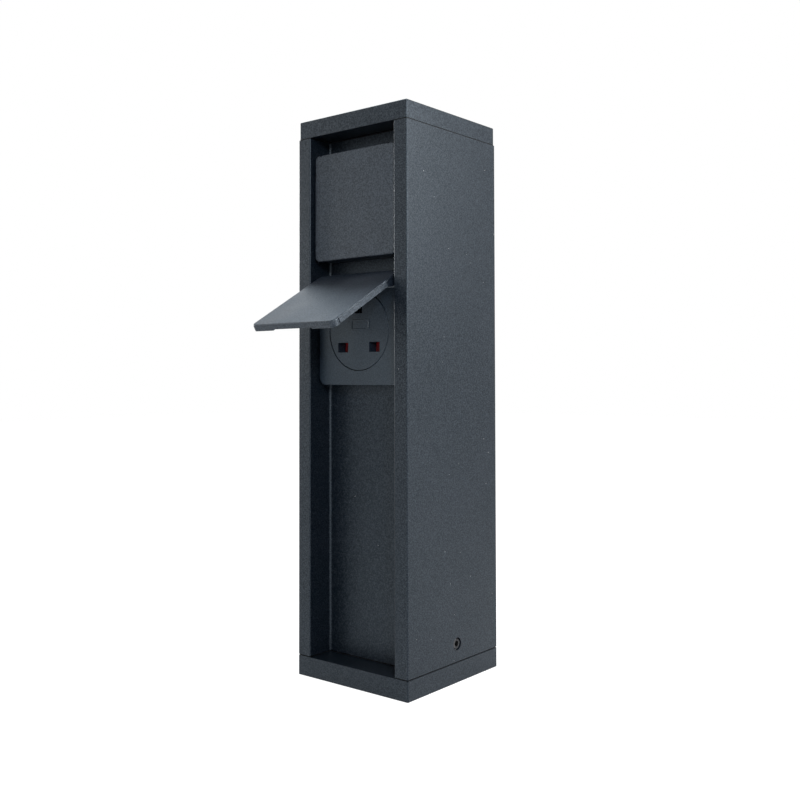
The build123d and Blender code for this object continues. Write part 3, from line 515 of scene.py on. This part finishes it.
@dataclass(frozen=True)
class WireSleeve:
    """A wire's plastic sleeve, plain or in two colours that take turns along it.

    Attributes:
        name: the material's name.
        first: the sleeve's colour.
        second: the colour of its stripe.
        pitch: about half of the length from one stripe to the next.
        stripe_start: the value of the wave at which the stripe begins.
        scuff: the size of the scuffed spots.
        gloss: the least and the greatest roughness.
    """

    name: str
    first: Colour
    second: Colour
    pitch: float = 14 * MM
    stripe_start: float = 0.62
    scuff: float = 2.5 * MM
    gloss: Span = (0.28, 0.42)

    def material(self) -> bpy.types.Material:
        """Builds the finish.

        Returns:
            The material.
        """
        material, graph, where = new_material(self.name)
        wave = graph.add("ShaderNodeTexWave", {"Vector": where, "Scale": 1 / (math.pi * self.pitch)},
                         wave_type="BANDS", bands_direction="DIAGONAL")
        stripe = graph.maths("GREATER_THAN", wave.outputs["Fac"], self.stripe_start)
        finish_material(graph, {
            "Base Color": graph.blend(stripe, self.first, self.second),
            "Roughness": graph.spread(graph.noise(where, self.scuff), NOISE_SPAN, self.gloss),
        })
        return material


Finish = PowderCoat | MouldedPlastic | SoftRubber | PlatedMetal | WireSleeve

FINISHES: dict[Slot, Finish] = {
    Slot.POWDER_COAT: PowderCoat(),
    Slot.LID: MouldedPlastic("lid_plastic", (0.0, 0.001, 0.004, 1.0), (0.006, 0.01, 0.018, 1.0),
                             grain=0.7 * MM, bump=0.08 * MM, tint=(0.76, 0.89, 1.0, 1.0), shine=0.64,
                             sparkle=0.32),
    Slot.FACE: MouldedPlastic("face_plastic", (0.0, 0.003, 0.009, 1.0), (0.008, 0.015, 0.025, 1.0),
                              grain=0.6 * MM, tint=(0.8, 0.93, 1.0, 1.0), shine=0.56),
    Slot.SHUTTER: MouldedPlastic("shutter_plastic", (0.22, 0.012, 0.016, 1.0), (0.34, 0.02, 0.024, 1.0),
                                 gloss=(0.24, 0.34)),
    Slot.HOUSING: MouldedPlastic("housing_plastic", (0.5, 0.5, 0.48, 1.0), (0.64, 0.64, 0.62, 1.0)),
    Slot.GLAND: MouldedPlastic("gland_plastic", (0.012, 0.012, 0.013, 1.0), (0.024, 0.024, 0.026, 1.0)),
    Slot.BLOCK: MouldedPlastic("block_plastic", (0.66, 0.63, 0.55, 1.0), (0.78, 0.76, 0.69, 1.0)),
    Slot.SEAL: SoftRubber(),
    Slot.ZINC: PlatedMetal("zinc_steel", (0.6, 0.61, 0.63, 1.0), (0.4, 0.41, 0.43, 1.0)),
    Slot.BLACK_STEEL: PlatedMetal("black_steel", (0.06, 0.062, 0.066, 1.0), (0.025, 0.025, 0.027, 1.0),
                                  (0.3, 0.46), 0.8),
    Slot.SPRING: PlatedMetal("spring_steel", (0.52, 0.52, 0.54, 1.0), (0.34, 0.33, 0.33, 1.0),
                             (0.16, 0.3)),
    Slot.BRASS: PlatedMetal("brass", (0.78, 0.56, 0.24, 1.0), (0.52, 0.34, 0.13, 1.0), (0.2, 0.38)),
    Slot.BROWN: WireSleeve("wire_brown", (0.16, 0.055, 0.022, 1.0), (0.19, 0.068, 0.028, 1.0)),
    Slot.BLUE: WireSleeve("wire_blue", (0.02, 0.11, 0.46, 1.0), (0.025, 0.13, 0.52, 1.0)),
    Slot.GREEN: WireSleeve("wire_green", (0.06, 0.33, 0.04, 1.0), (0.78, 0.62, 0.03, 1.0)),
}


class Finisher:
    """Builds each finish once and gives it to nodes and pieces."""

    def __init__(self) -> None:
        """Starts with no finish built."""
        self.built: dict[Slot, bpy.types.Material] = {}

    def get(self, slot: Slot) -> bpy.types.Material:
        """Finds the material of a slot, and builds it on its first use.

        Args:
            slot: the material slot.

        Returns:
            The material.
        """
        if slot not in self.built:
            self.built[slot] = FINISHES[slot].material()
        return self.built[slot]

    def dress(self, slot: Slot, *names: str) -> None:
        """Gives a slot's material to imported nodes.

        Args:
            slot: the material slot.
            *names: the nodes' names.
        """
        for name in names:
            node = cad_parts[name]
            node.data.materials.clear()
            node.data.materials.append(self.get(slot))
            LOG.info("node %s in %s", name, slot.value)


class ShapeTree:
    """A Geometry Nodes tree with named sizes, which is run once to make a plain mesh."""

    def __init__(self, name: str, sizes: dict[str, float | int]) -> None:
        """Starts a tree.

        Args:
            name: the tree's name.
            sizes: the tree's inputs, by name. A whole number makes a whole-number input.
        """
        self.tree = bpy.data.node_groups.new(name, "GeometryNodeTree")
        self.sizes = sizes
        self.graph = Graph(self.tree)
        for size, value in sizes.items():
            kind = "NodeSocketInt" if isinstance(value, int) else "NodeSocketFloat"
            self.tree.interface.new_socket(size, in_out="INPUT", socket_type=kind)
        self.tree.interface.new_socket("Geometry", in_out="OUTPUT", socket_type="NodeSocketGeometry")
        self.given = self.graph.add("NodeGroupInput").outputs

    def size(self, name: str) -> bpy.types.NodeSocket:
        """Returns the socket of one of the tree's sizes."""
        return self.given[name]

    def point(self, x: object = 0.0, y: object = 0.0, z: object = 0.0) -> bpy.types.NodeSocket:
        """Puts a point or a length in space together from its three parts.

        Args:
            x: its first part, a value or a socket.
            y: its second part.
            z: its third part.

        Returns:
            The point.
        """
        return self.graph.add("ShaderNodeCombineXYZ", {0: x, 1: y, 2: z}).outputs[0]

    def moved(self, shape: bpy.types.NodeSocket, by: bpy.types.NodeSocket) -> bpy.types.NodeSocket:
        """Moves a shape.

        Args:
            shape: the shape to move.
            by: how far it moves.

        Returns:
            The moved shape.
        """
        inputs = {"Geometry": shape, "Translation": by}
        return self.graph.add("GeometryNodeTransform", inputs).outputs[0]

    def joined(self, *shapes: bpy.types.NodeSocket) -> bpy.types.NodeSocket:
        """Joins shapes into one.

        Args:
            *shapes: the shapes to join.

        Returns:
            All of them as one shape.
        """
        node = self.graph.add("GeometryNodeJoinGeometry")
        for shape in shapes:
            self.tree.links.new(shape, node.inputs[0])
        return node.outputs[0]

    def swept(self, path: bpy.types.NodeSocket, outline: bpy.types.NodeSocket) -> bpy.types.NodeSocket:
        """Sweeps an outline along a path, with its ends closed.

        Args:
            path: the curve to follow.
            outline: the curve to sweep.

        Returns:
            The swept shape.
        """
        inputs = {"Curve": path, "Profile Curve": outline, "Fill Caps": True}
        return self.graph.add("GeometryNodeCurveToMesh", inputs).outputs[0]

    def circle(self, radius: object, points: int) -> bpy.types.NodeSocket:
        """Draws a circle.

        Args:
            radius: its radius, a value or a socket.
            points: how many points it has.

        Returns:
            The circle as a curve.
        """
        inputs = {"Resolution": points, "Radius": radius}
        return self.graph.add("GeometryNodeCurvePrimitiveCircle", inputs, mode="RADIUS").outputs[0]

    def rod(self, radius: object, length: object, sides: int) -> bpy.types.NodeSocket:
        """Makes a rod that stands on the plane of X and Y.

        Args:
            radius: its radius, a value or a socket.
            length: its length, a value or a socket.
            sides: how many sides it has.

        Returns:
            The rod.
        """
        inputs = {"Vertices": sides, "Radius": radius, "Depth": length}
        rod = self.graph.add("GeometryNodeMeshCylinder", inputs).outputs[0]
        return self.moved(rod, self.point(z=self.graph.maths("MULTIPLY", length, 0.5)))

    def row(self, shape: bpy.types.NodeSocket, count: object, gap: object,
            upward: bool = False) -> bpy.types.NodeSocket:
        """Repeats a shape in a row about the middle.

        Args:
            shape: the shape to repeat.
            count: how many there are.
            gap: the distance from one to the next.
            upward: whether the row runs along Y and not along X.

        Returns:
            The row, as instances.
        """
        span = self.graph.maths("MULTIPLY", self.graph.maths("SUBTRACT", count, 1.0), gap)
        start = self.graph.maths("MULTIPLY", span, -0.5)
        axis = "y" if upward else "x"
        line = {"Count": count, "Start Location": self.point(**{axis: start}),
                "Offset": self.point(**{axis: gap})}
        points = self.graph.add("GeometryNodeMeshLine", line, mode="OFFSET", count_mode="TOTAL")
        inputs = {"Points": points.outputs[0], "Instance": shape}
        return self.graph.add("GeometryNodeInstanceOnPoints", inputs).outputs[0]

    def close(self, shape: bpy.types.NodeSocket, material: bpy.types.Material) -> None:
        """Ends the tree with its instances made real and its material set.

        Args:
            shape: the geometry to end on.
            material: the piece's material.
        """
        real = self.graph.add("GeometryNodeRealizeInstances", {0: shape}).outputs[0]
        smooth = self.graph.add("GeometryNodeSetShadeSmooth", {0: real}).outputs[0]
        dressed = self.graph.add("GeometryNodeSetMaterial", {0: smooth, "Material": material})
        self.graph.add("NodeGroupOutput", {0: dressed.outputs[0]})

    def run(self, name: str, place: Matrix) -> bpy.types.Object:
        """Runs the tree and moves its result into place.

        Args:
            name: the piece's name.
            place: where the piece stands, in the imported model's frame.

        Returns:
            A plain mesh object at the origin.
        """
        piece = bpy.data.objects.new(name, bpy.data.meshes.new(name))
        bpy.context.scene.collection.objects.link(piece)
        modifier = piece.modifiers.new("shape", "NODES")
        modifier.node_group = self.tree
        for item in self.tree.interface.items_tree:
            if item.in_out == "INPUT":
                modifier[item.identifier] = self.sizes[item.name]
        depsgraph = bpy.context.evaluated_depsgraph_get()
        result = bpy.data.meshes.new_from_object(piece.evaluated_get(depsgraph), depsgraph=depsgraph)
        piece.modifiers.remove(modifier)
        result.transform(place)
        piece.data = result
        return piece


def settle(piece: bpy.types.Object, slot: Slot, *nodes: str) -> None:
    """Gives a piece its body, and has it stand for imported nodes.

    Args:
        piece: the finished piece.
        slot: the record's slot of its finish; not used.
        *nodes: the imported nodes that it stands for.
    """
    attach(piece, STANDING_BODY)
    if nodes:
        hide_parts(*nodes)
    LOG.info("piece %s, %d faces", piece.name, len(piece.data.polygons))


def merged(name: str, *pieces: bpy.types.Object) -> bpy.types.Object:
    """Makes one piece out of several.

    Args:
        name: the new piece's name.
        *pieces: the pieces, which go into the first one.

    Returns:
        The one piece.
    """
    whole = bmesh.new()
    for piece in pieces:
        whole.from_mesh(piece.data)
    whole.to_mesh(pieces[0].data)
    whole.free()
    for piece in pieces[1:]:
        bpy.data.objects.remove(piece)
    pieces[0].name = name
    return pieces[0]


class Facing(Enum):
    """The way a piece's top looks, as a turn about X from upward, in degrees."""

    FRONT = 90.0
    BACK = -90.0
    UP = 0.0
    DOWN = 180.0

    def at(self, x: float, y: float, z: float) -> Matrix:
        """Places a piece so that it looks this way.

        Args:
            x: where it is across the post, in millimetres.
            y: where it is in depth, in millimetres.
            z: its height, in millimetres.

        Returns:
            Its placing, in metres.
        """
        turn = Matrix.Rotation(math.radians(self.value), 4, "X")
        return Matrix.Translation(Vector((x, y, z)) * MM) @ turn


@dataclass(frozen=True)
class CoilSpring:
    """A shutter's return spring: a wound coil with a closed turn at each end.

    Attributes:
        radius: the coil's radius, to the middle of the wire.
        wire: the wire's radius.
        height: the spring's height.
        turns: how many turns it has between the closed ones.
        turn_points: how many points a turn has.
        wire_points: how many points go round the wire.
    """

    radius: float = 1.85 * MM
    wire: float = 0.32 * MM
    height: float = 15.4 * MM
    turns: float = 9.0
    turn_points: int = 20
    wire_points: int = 8

    def build(self, name: str, place: Matrix, material: bpy.types.Material) -> bpy.types.Object:
        """Winds the spring.

        Args:
            name: the piece's name.
            place: where its foot stands.
            material: its finish.

        Returns:
            The spring as a plain mesh.
        """
        shape = ShapeTree(name, {"Radius": self.radius, "Wire": self.wire, "Height": self.height,
                                 "Turns": self.turns})
        graph, radius, wire = shape.graph, shape.size("Radius"), shape.size("Wire")
        rise = graph.maths("SUBTRACT", shape.size("Height"), graph.maths("MULTIPLY", wire, 2.0))
        coil = graph.add("GeometryNodeCurveSpiral", {
            "Resolution": self.turn_points, "Rotations": shape.size("Turns"),
            "Start Radius": radius, "End Radius": radius, "Height": rise}).outputs[0]
        ring = shape.circle(radius, self.turn_points)
        path = shape.joined(coil, ring, shape.moved(ring, shape.point(z=rise)))
        wound = shape.swept(path, shape.circle(wire, self.wire_points))
        shape.close(shape.moved(wound, shape.point(z=wire)), material)
        return shape.run(name, place)


@dataclass(frozen=True)
class SlottedScrews:
    """A row or a grid of screws with a slot across their heads.

    Attributes:
        shank: the shank's radius.
        length: the shank's length under the head.
        head: the head's radius.
        rise: the head's height.
        pair: how many stand side by side, and how far apart in millimetres.
        rows: how many such groups there are, and how far apart in millimetres.
        upward: whether the groups lie one above the other.
        slot_width: the slot's width, as a share of the head's radius.
        slot_reach: the length of the block that cuts the slot, as a share of that radius.
        slot_depth: twice the slot's depth, as a share of the head's height.
        shank_sides: how many sides the shank has.
        head_sides: how many sides the head has.
    """

    shank: float
    length: float
    head: float
    rise: float
    pair: tuple[int, float] = (1, 1.0)
    rows: tuple[int, float] = (1, 1.0)
    upward: bool = False
    slot_width: float = 0.3
    slot_reach: float = 3.0
    slot_depth: float = 1.1
    shank_sides: int = 24
    head_sides: int = 32

    def build(self, name: str, place: Matrix, material: bpy.types.Material) -> bpy.types.Object:
        """Makes the screws.

        Args:
            name: the piece's name.
            place: where the middle of the group is, at the tips of the shanks.
            material: their finish.

        Returns:
            The screws as one plain mesh.
        """
        shape = ShapeTree(name, {
            "Shank": self.shank, "Length": self.length, "Head": self.head, "Rise": self.rise,
            "Pair": self.pair[0], "Pair Gap": self.pair[1] * MM,
            "Rows": self.rows[0], "Row Gap": self.rows[1] * MM,
        })
        graph, head, rise = shape.graph, shape.size("Head"), shape.size("Rise")
        length = shape.size("Length")
        top = shape.point(z=graph.maths("ADD", length, rise))
        block = shape.point(graph.maths("MULTIPLY", head, self.slot_reach),
                            graph.maths("MULTIPLY", head, self.slot_width),
                            graph.maths("MULTIPLY", rise, self.slot_depth))
        slot = shape.moved(graph.add("GeometryNodeMeshCube", {"Size": block}).outputs[0], top)
        disc = shape.moved(shape.rod(head, rise, self.head_sides), shape.point(z=length))
        cut = graph.add("GeometryNodeMeshBoolean", {"Mesh 1": disc, "Mesh 2": slot},
                        operation="DIFFERENCE")
        shank = shape.rod(shape.size("Shank"), length, self.shank_sides)
        screw = shape.joined(shank, cut.outputs[0])
        group = shape.row(screw, shape.size("Pair"), shape.size("Pair Gap"))
        shape.close(shape.row(group, shape.size("Rows"), shape.size("Row Gap"), self.upward), material)
        return shape.run(name, place)


@dataclass(frozen=True)
class LabelFrame:
    """The blank raised frame on a socket's face, where a rating would stand.

    Attributes:
        width: its width.
        height: its height.
        corner: the radius of its corners.
        line: the width of its rim.
        rise: how high the rim is, with its foot sunk a little into the face.
        corner_points: how many points round off a corner.
    """

    width: float = 12.0 * MM
    height: float = 4.7 * MM
    corner: float = 0.5 * MM
    line: float = 0.5 * MM
    rise: float = 0.3 * MM
    corner_points: int = 5

    def build(self, name: str, place: Matrix, material: bpy.types.Material) -> bpy.types.Object:
        """Makes the frame.

        Args:
            name: the piece's name.
            place: where its middle is.
            material: its finish.

        Returns:
            The frame as a plain mesh.
        """
        shape = ShapeTree(name, {"Width": self.width, "Height": self.height, "Corner": self.corner,
                                 "Line": self.line, "Rise": self.rise})
        graph = shape.graph
        sheet = graph.add("GeometryNodeCurvePrimitiveQuadrilateral", {
            "Width": shape.size("Width"), "Height": shape.size("Height")}).outputs[0]
        round_corners = {"Curve": sheet, "Radius": shape.size("Corner"), "Count": self.corner_points}
        path = graph.add("GeometryNodeFilletCurve", round_corners, mode="POLY").outputs[0]
        rim = graph.add("GeometryNodeCurvePrimitiveQuadrilateral", {
            "Width": shape.size("Line"), "Height": shape.size("Rise")}).outputs[0]
        shape.close(shape.swept(path, rim), material)
        return shape.run(name, place)


@dataclass
class PostShell:
    """The extruded post with its cap, its foot, their seals and their screws.

    Attributes:
        finisher: gives out the finishes.
    """

    finisher: Finisher

    def build(self) -> None:
        """Dresses the shell."""
        self.finisher.dress(Slot.POWDER_COAT, "post_body", "top_cap", "base_foot")
        self.finisher.dress(Slot.SEAL, "cap_seal", "foot_seal")
        self.finisher.dress(Slot.BLACK_STEEL, "cap_screws", "set_screws")
        self.finisher.dress(Slot.ZINC, "foot_lugs")


@dataclass
class SocketModule:
    """One socket module: frame, face, shutter, housing, contacts and lid.

    Attributes:
        finisher: gives out the finishes.
        place: which of the two modules it is.
        centre: the height of its face's centre, in millimetres.
        spring_foot: the spring's foot, in millimetres: up from the centre, and in depth.
        travel_left: the share of its height that the spring keeps when the shutter is down; not used.
        label: the middle of the blank label frame, in millimetres: across, in depth, and up
            from the centre.
        housing_screws: the long screws of the rear housing.
        line_screws: the live and the neutral terminal screws.
        earth_screw: the earth terminal screw.
    """

    finisher: Finisher
    place: Place
    centre: float
    spring_foot: tuple[float, float] = (-11.4, -21.2)
    travel_left: float = 0.597
    label: Point = (1.2, -32.35, 3.3)
    housing_screws: SlottedScrews = SlottedScrews(
        shank=1.2 * MM, length=38.0 * MM, head=2.3 * MM, rise=1.8 * MM,
        pair=(2, 43.2), rows=(2, 40.8), upward=True)
    line_screws: SlottedScrews = SlottedScrews(
        shank=1.45 * MM, length=3.35 * MM, head=2.3 * MM, rise=2.0 * MM, pair=(2, 22.2))
    earth_screw: SlottedScrews = SlottedScrews(
        shank=1.45 * MM, length=3.35 * MM, head=2.3 * MM, rise=2.0 * MM)

    def named(self, piece: str) -> str:
        """Returns the name of one of this module's nodes."""
        return f"{self.place.value}_{piece}"

    def build(self) -> None:
        """Dresses the module."""
        plan = {
            Slot.FACE: ("module_frame", "socket_face"),
            Slot.LID: ("lid",),
            Slot.SHUTTER: ("shutter",),
            Slot.HOUSING: ("rear_housing",),
            Slot.SEAL: ("frame_seal", "lid_seal"),
            Slot.ZINC: ("housing_screws", "terminal_screws", "hinge_pins"),
            Slot.SPRING: ("retaining_clips", "shutter_spring"),
            Slot.BRASS: ("live_contact", "neutral_contact", "earth_contact"),
        }
        for slot, pieces in plan.items():
            self.finisher.dress(slot, *[self.named(piece) for piece in pieces])
        self.wind_spring()
        self.drive_screws()
        self.frame_label()

    def wind_spring(self) -> None:
        """Winds the shutter's spring, at one fixed height."""
        low, deep = self.spring_foot
        foot = Facing.UP.at(0.0, deep, self.centre + low)
        spring = CoilSpring().build(self.named("spring_coil"), foot, self.finisher.get(Slot.SPRING))
        settle(spring, Slot.SPRING, self.named("shutter_spring"))
        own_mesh(spring)

    def drive_screws(self) -> None:
        """Makes the housing's long screws and the three terminal screws."""
        zinc = self.finisher.get(Slot.ZINC)
        low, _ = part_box(self.named("housing_screws"))
        place = Facing.BACK.at(0.0, low[1] / MM, self.centre)
        long_screws = self.housing_screws.build(self.named("long_screws"), place, zinc)
        settle(long_screws, Slot.ZINC, self.named("housing_screws"))
        low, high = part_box(self.named("terminal_screws"))
        deep = (low[1] + high[1]) / 2 / MM
        reach = (self.line_screws.length + self.line_screws.rise) / MM
        lines = self.line_screws.build("lines", Facing.DOWN.at(0.0, deep, low[2] / MM + reach), zinc)
        earth = self.earth_screw.build("earth", Facing.UP.at(0.0, deep, high[2] / MM - reach), zinc)
        screws = merged(self.named("slotted_screws"), lines, earth)
        settle(screws, Slot.ZINC, self.named("terminal_screws"))

    def frame_label(self) -> None:
        """Sets the blank label frame on the face."""
        across, deep, up = self.label
        place = Facing.FRONT.at(across, deep, self.centre + up)
        rim = LabelFrame().build(self.named("label_frame"), place, self.finisher.get(Slot.FACE))
        settle(rim, Slot.FACE)


@dataclass
class SupplyEnd:
    """What brings the supply in: gland, terminal block, earth tag and wires.

    Attributes:
        finisher: gives out the finishes.
        clamp_screws: the headless screws that clamp the wires in the terminal block.
    """

    finisher: Finisher
    clamp_screws: SlottedScrews = SlottedScrews(
        shank=1.25 * MM, length=1.6 * MM, head=1.3 * MM, rise=1.85 * MM,
        pair=(2, 5.2), rows=(3, 16.0))

    def build(self) -> None:
        """Dresses the supply end."""
        self.finisher.dress(Slot.GLAND, "gland_body", "gland_dome_nut", "gland_locknut")
        self.finisher.dress(Slot.SEAL, "gland_seal")
        self.finisher.dress(Slot.BLOCK, "terminal_block")
        self.finisher.dress(Slot.BRASS, "terminal_inserts", "earth_tag")
        self.finisher.dress(Slot.ZINC, "clamp_screws", "block_screws", "earth_screw")
        self.finisher.dress(Slot.BROWN, "live_wires")
        self.finisher.dress(Slot.BLUE, "neutral_wires")
        self.finisher.dress(Slot.GREEN, "earth_wires")
        low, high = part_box("clamp_screws")
        place = Facing.FRONT.at(0.0, high[1] / MM, (low[2] + high[2]) / 2 / MM)
        screws = self.clamp_screws.build("slotted_clamp_screws", place, self.finisher.get(Slot.ZINC))
        settle(screws, Slot.ZINC, "clamp_screws")


@dataclass(frozen=True)
class Lamp:
    """A soft lamp that looks at the post.

    Attributes:
        name: the lamp's name.
        place: where it hangs.
        aim: the point that it looks at.
        size: its width and its height.
        power: its power in watts.
        colour: its colour.
    """

    name: str
    place: Point
    aim: Point
    size: tuple[float, float]
    power: float
    colour: tuple[float, float, float] = (1.0, 1.0, 1.0)

    def build(self) -> None:
        """Hangs the lamp."""
        data = bpy.data.lights.new(self.name, "AREA")
        data.shape = "RECTANGLE"
        data.size, data.size_y = self.size
        data.energy = self.power
        data.color = self.colour
        lamp = bpy.data.objects.new(self.name, data)
        lamp.location = self.place
        lamp.rotation_mode = "QUATERNION"
        lamp.rotation_quaternion = (Vector(self.aim) - Vector(self.place)).to_track_quat("-Z", "Y")
        lamp.visible_camera = False
        bpy.context.scene.collection.objects.link(lamp)
        LOG.info("lamp %s", self.name)


@dataclass
class Studio:
    """The pale floor, the white background and the soft lamps.

    Attributes:
        floor_size: the length of the floor's sides.
        floor_drop: how far the floor lies under the foot.
        shadow: how much of the floor's tone comes from the light that falls on it.
        shine: the strength of the rest of the floor's tone.
        gloss_share: how much of that strength gloss sees.
        blotch: the size of the patches in the floor's tone.
        tones: the darkest and the palest tone of the floor.
        ambient: the strength of the light from all round.
        lamps: the soft lamps.
    """

    floor_size: float = 6.0
    floor_drop: float = 0.1 * MM
    shadow: float = 0.3
    shine: float = 1.33
    gloss_share: float = 0.75
    blotch: float = 0.2
    tones: Span = (0.8, 0.84)
    ambient: float = 0.35
    lamps: tuple[Lamp, ...] = (
        Lamp("side_lamp", (0.38, 0.11, 0.36), (0.0385, 0.0, 0.24), (0.08, 0.35), 1.8),
        Lamp("close_lamp", (0.22, 0.13, 0.33), (0.0385, -0.02, 0.25), (0.05, 0.2), 0.1),
        Lamp("low_lamp", (0.45, 0.25, 0.06), (0.0385, 0.0, 0.08), (0.1, 0.1), 0.15),
        Lamp("lid_lamp", (-0.5, 0.2, 1.16), (0.0, -0.06, 0.19), (0.35, 0.35), 4.6, (0.74, 0.88, 1.0)),
        Lamp("near_lamp", (0.95, -0.75, 0.55), (0.0, 0.0, 0.2), (0.2, 0.2), 9.0),
        Lamp("edge_lamp", (-1.2, -0.14, 0.4), (0.0, 0.0, 0.17), (0.25, 0.25), 8.0),
        Lamp("top_lamp", (0.42, 0.28, 1.1), (0.0, -0.05, 0.19), (0.4, 0.4), 1.0),
    )

    def build(self) -> None:
        """Sets up the floor, the background and the lamps."""
        self.lay_floor()
        self.light_world()
        for lamp in self.lamps:
            lamp.build()

    def seen_ray(self, graph: Graph) -> bpy.types.NodeSocket:
        """Tells the rays that see the background: from the camera, in gloss or through glass.

        Args:
            graph: the graph to draw in.

        Returns:
            1 for such a ray and 0 for any other.
        """
        path = graph.add("ShaderNodeLightPath").outputs
        gloss = graph.maths("MAXIMUM", path["Is Glossy Ray"], path["Is Transmission Ray"])
        return graph.maths("MAXIMUM", path["Is Camera Ray"], gloss)

    def light_world(self) -> None:
        """Makes the background white where it is seen, and a soft light elsewhere."""
        world = bpy.data.worlds.new("studio")
        world.use_nodes = True
        world.node_tree.nodes.clear()
        graph = Graph(world.node_tree)
        strength = graph.spread(self.seen_ray(graph), WHOLE, (self.ambient, 1.0))
        backdrop = graph.add("ShaderNodeBackground", {"Color": grey(1.0), "Strength": strength})
        graph.add("ShaderNodeOutputWorld", {"Surface": backdrop.outputs[0]})
        bpy.context.scene.world = world

    def lay_floor(self) -> None:
        """Lays the floor, which shows white but keeps the post's shadow."""
        mesh = bpy.data.meshes.new("floor")
        shape = bmesh.new()
        bmesh.ops.create_grid(shape, x_segments=1, y_segments=1, size=self.floor_size / 2)
        bmesh.ops.translate(shape, verts=shape.verts, vec=(0.0, 0.0, -self.floor_drop))
        shape.to_mesh(mesh)
        shape.free()
        floor = bpy.data.objects.new("floor", mesh)
        bpy.context.scene.collection.objects.link(floor)
        material, graph, where = new_material("pale_floor")
        darkest, palest = self.tones
        tone = graph.blend(graph.noise(where, self.blotch), grey(darkest), grey(palest))
        matte = graph.add("ShaderNodeBsdfDiffuse", {"Color": tone})
        shine = graph.add("ShaderNodeEmission", {"Color": grey(1.0), "Strength": self.shine})
        path = graph.add("ShaderNodeLightPath").outputs
        seen = graph.maths("MULTIPLY", self.seen_ray(graph), self.gloss_share)
        glow = graph.maths("MAXIMUM", seen, path["Is Camera Ray"])
        share = graph.maths("MULTIPLY", glow, 1.0 - self.shadow)
        mixed = graph.add("ShaderNodeMixShader", {0: share, 1: matte.outputs[0], 2: shine.outputs[0]})
        graph.add("ShaderNodeOutputMaterial", {"Surface": mixed.outputs[0]})
        mesh.materials.append(material)
        LOG.info("floor and background")


@dataclass
class PhotoCamera:
    """The camera at the photograph's place, worked out from the post's corners.

    Attributes:
        place: where it stands.
        yaw: how far it turns left from looking along Y, in degrees.
        pitch: how far it looks up, in degrees.
        roll: how far it leans, in degrees.
        lens: its focal length in millimetres.
        sensor: its sensor's width in millimetres.
        shift: how far the frame is shifted, in shares of its width.
        nearest: the distance from which it sees things.
    """

    place: Point = (0.34685, -0.40773, 0.16099)
    yaw: float = 38.0955
    pitch: float = 1.5208
    roll: float = -0.1729
    lens: float = 43.5763
    sensor: float = 36.0
    shift: tuple[float, float] = (-0.046355, -0.062522)
    nearest: float = 0.01

    def build(self) -> None:
        """Sets up the camera and makes it the scene's."""
        data = bpy.data.cameras.new("photo_camera")
        data.lens = self.lens
        data.sensor_width = self.sensor
        data.shift_x, data.shift_y = self.shift
        data.clip_start = self.nearest
        camera = bpy.data.objects.new("photo_camera", data)
        camera.location = self.place
        turn = Matrix.Rotation(math.radians(self.yaw), 4, "Z")
        tilt = Matrix.Rotation(math.radians(90 + self.pitch), 4, "X")
        lean = Matrix.Rotation(math.radians(self.roll), 4, "Z")
        camera.rotation_mode = "QUATERNION"
        camera.rotation_quaternion = (turn @ tilt @ lean).to_quaternion()
        bpy.context.scene.collection.objects.link(camera)
        bpy.context.scene.camera = camera
        LOG.info("camera")


def main() -> None:
    """Builds everything in order."""
    logging.basicConfig(level=logging.INFO, format="%(name)s: %(message)s")
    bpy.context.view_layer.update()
    bpy.context.scene.view_settings.view_transform = "Standard"
    finisher = Finisher()
    PhotoCamera().build()
    Studio().build()
    PostShell(finisher).build()
    for place, centre in MODULE_CENTRES.items():
        SocketModule(finisher, place, centre).build()
    SupplyEnd(finisher).build()


if __name__ == "__main__":
    main()
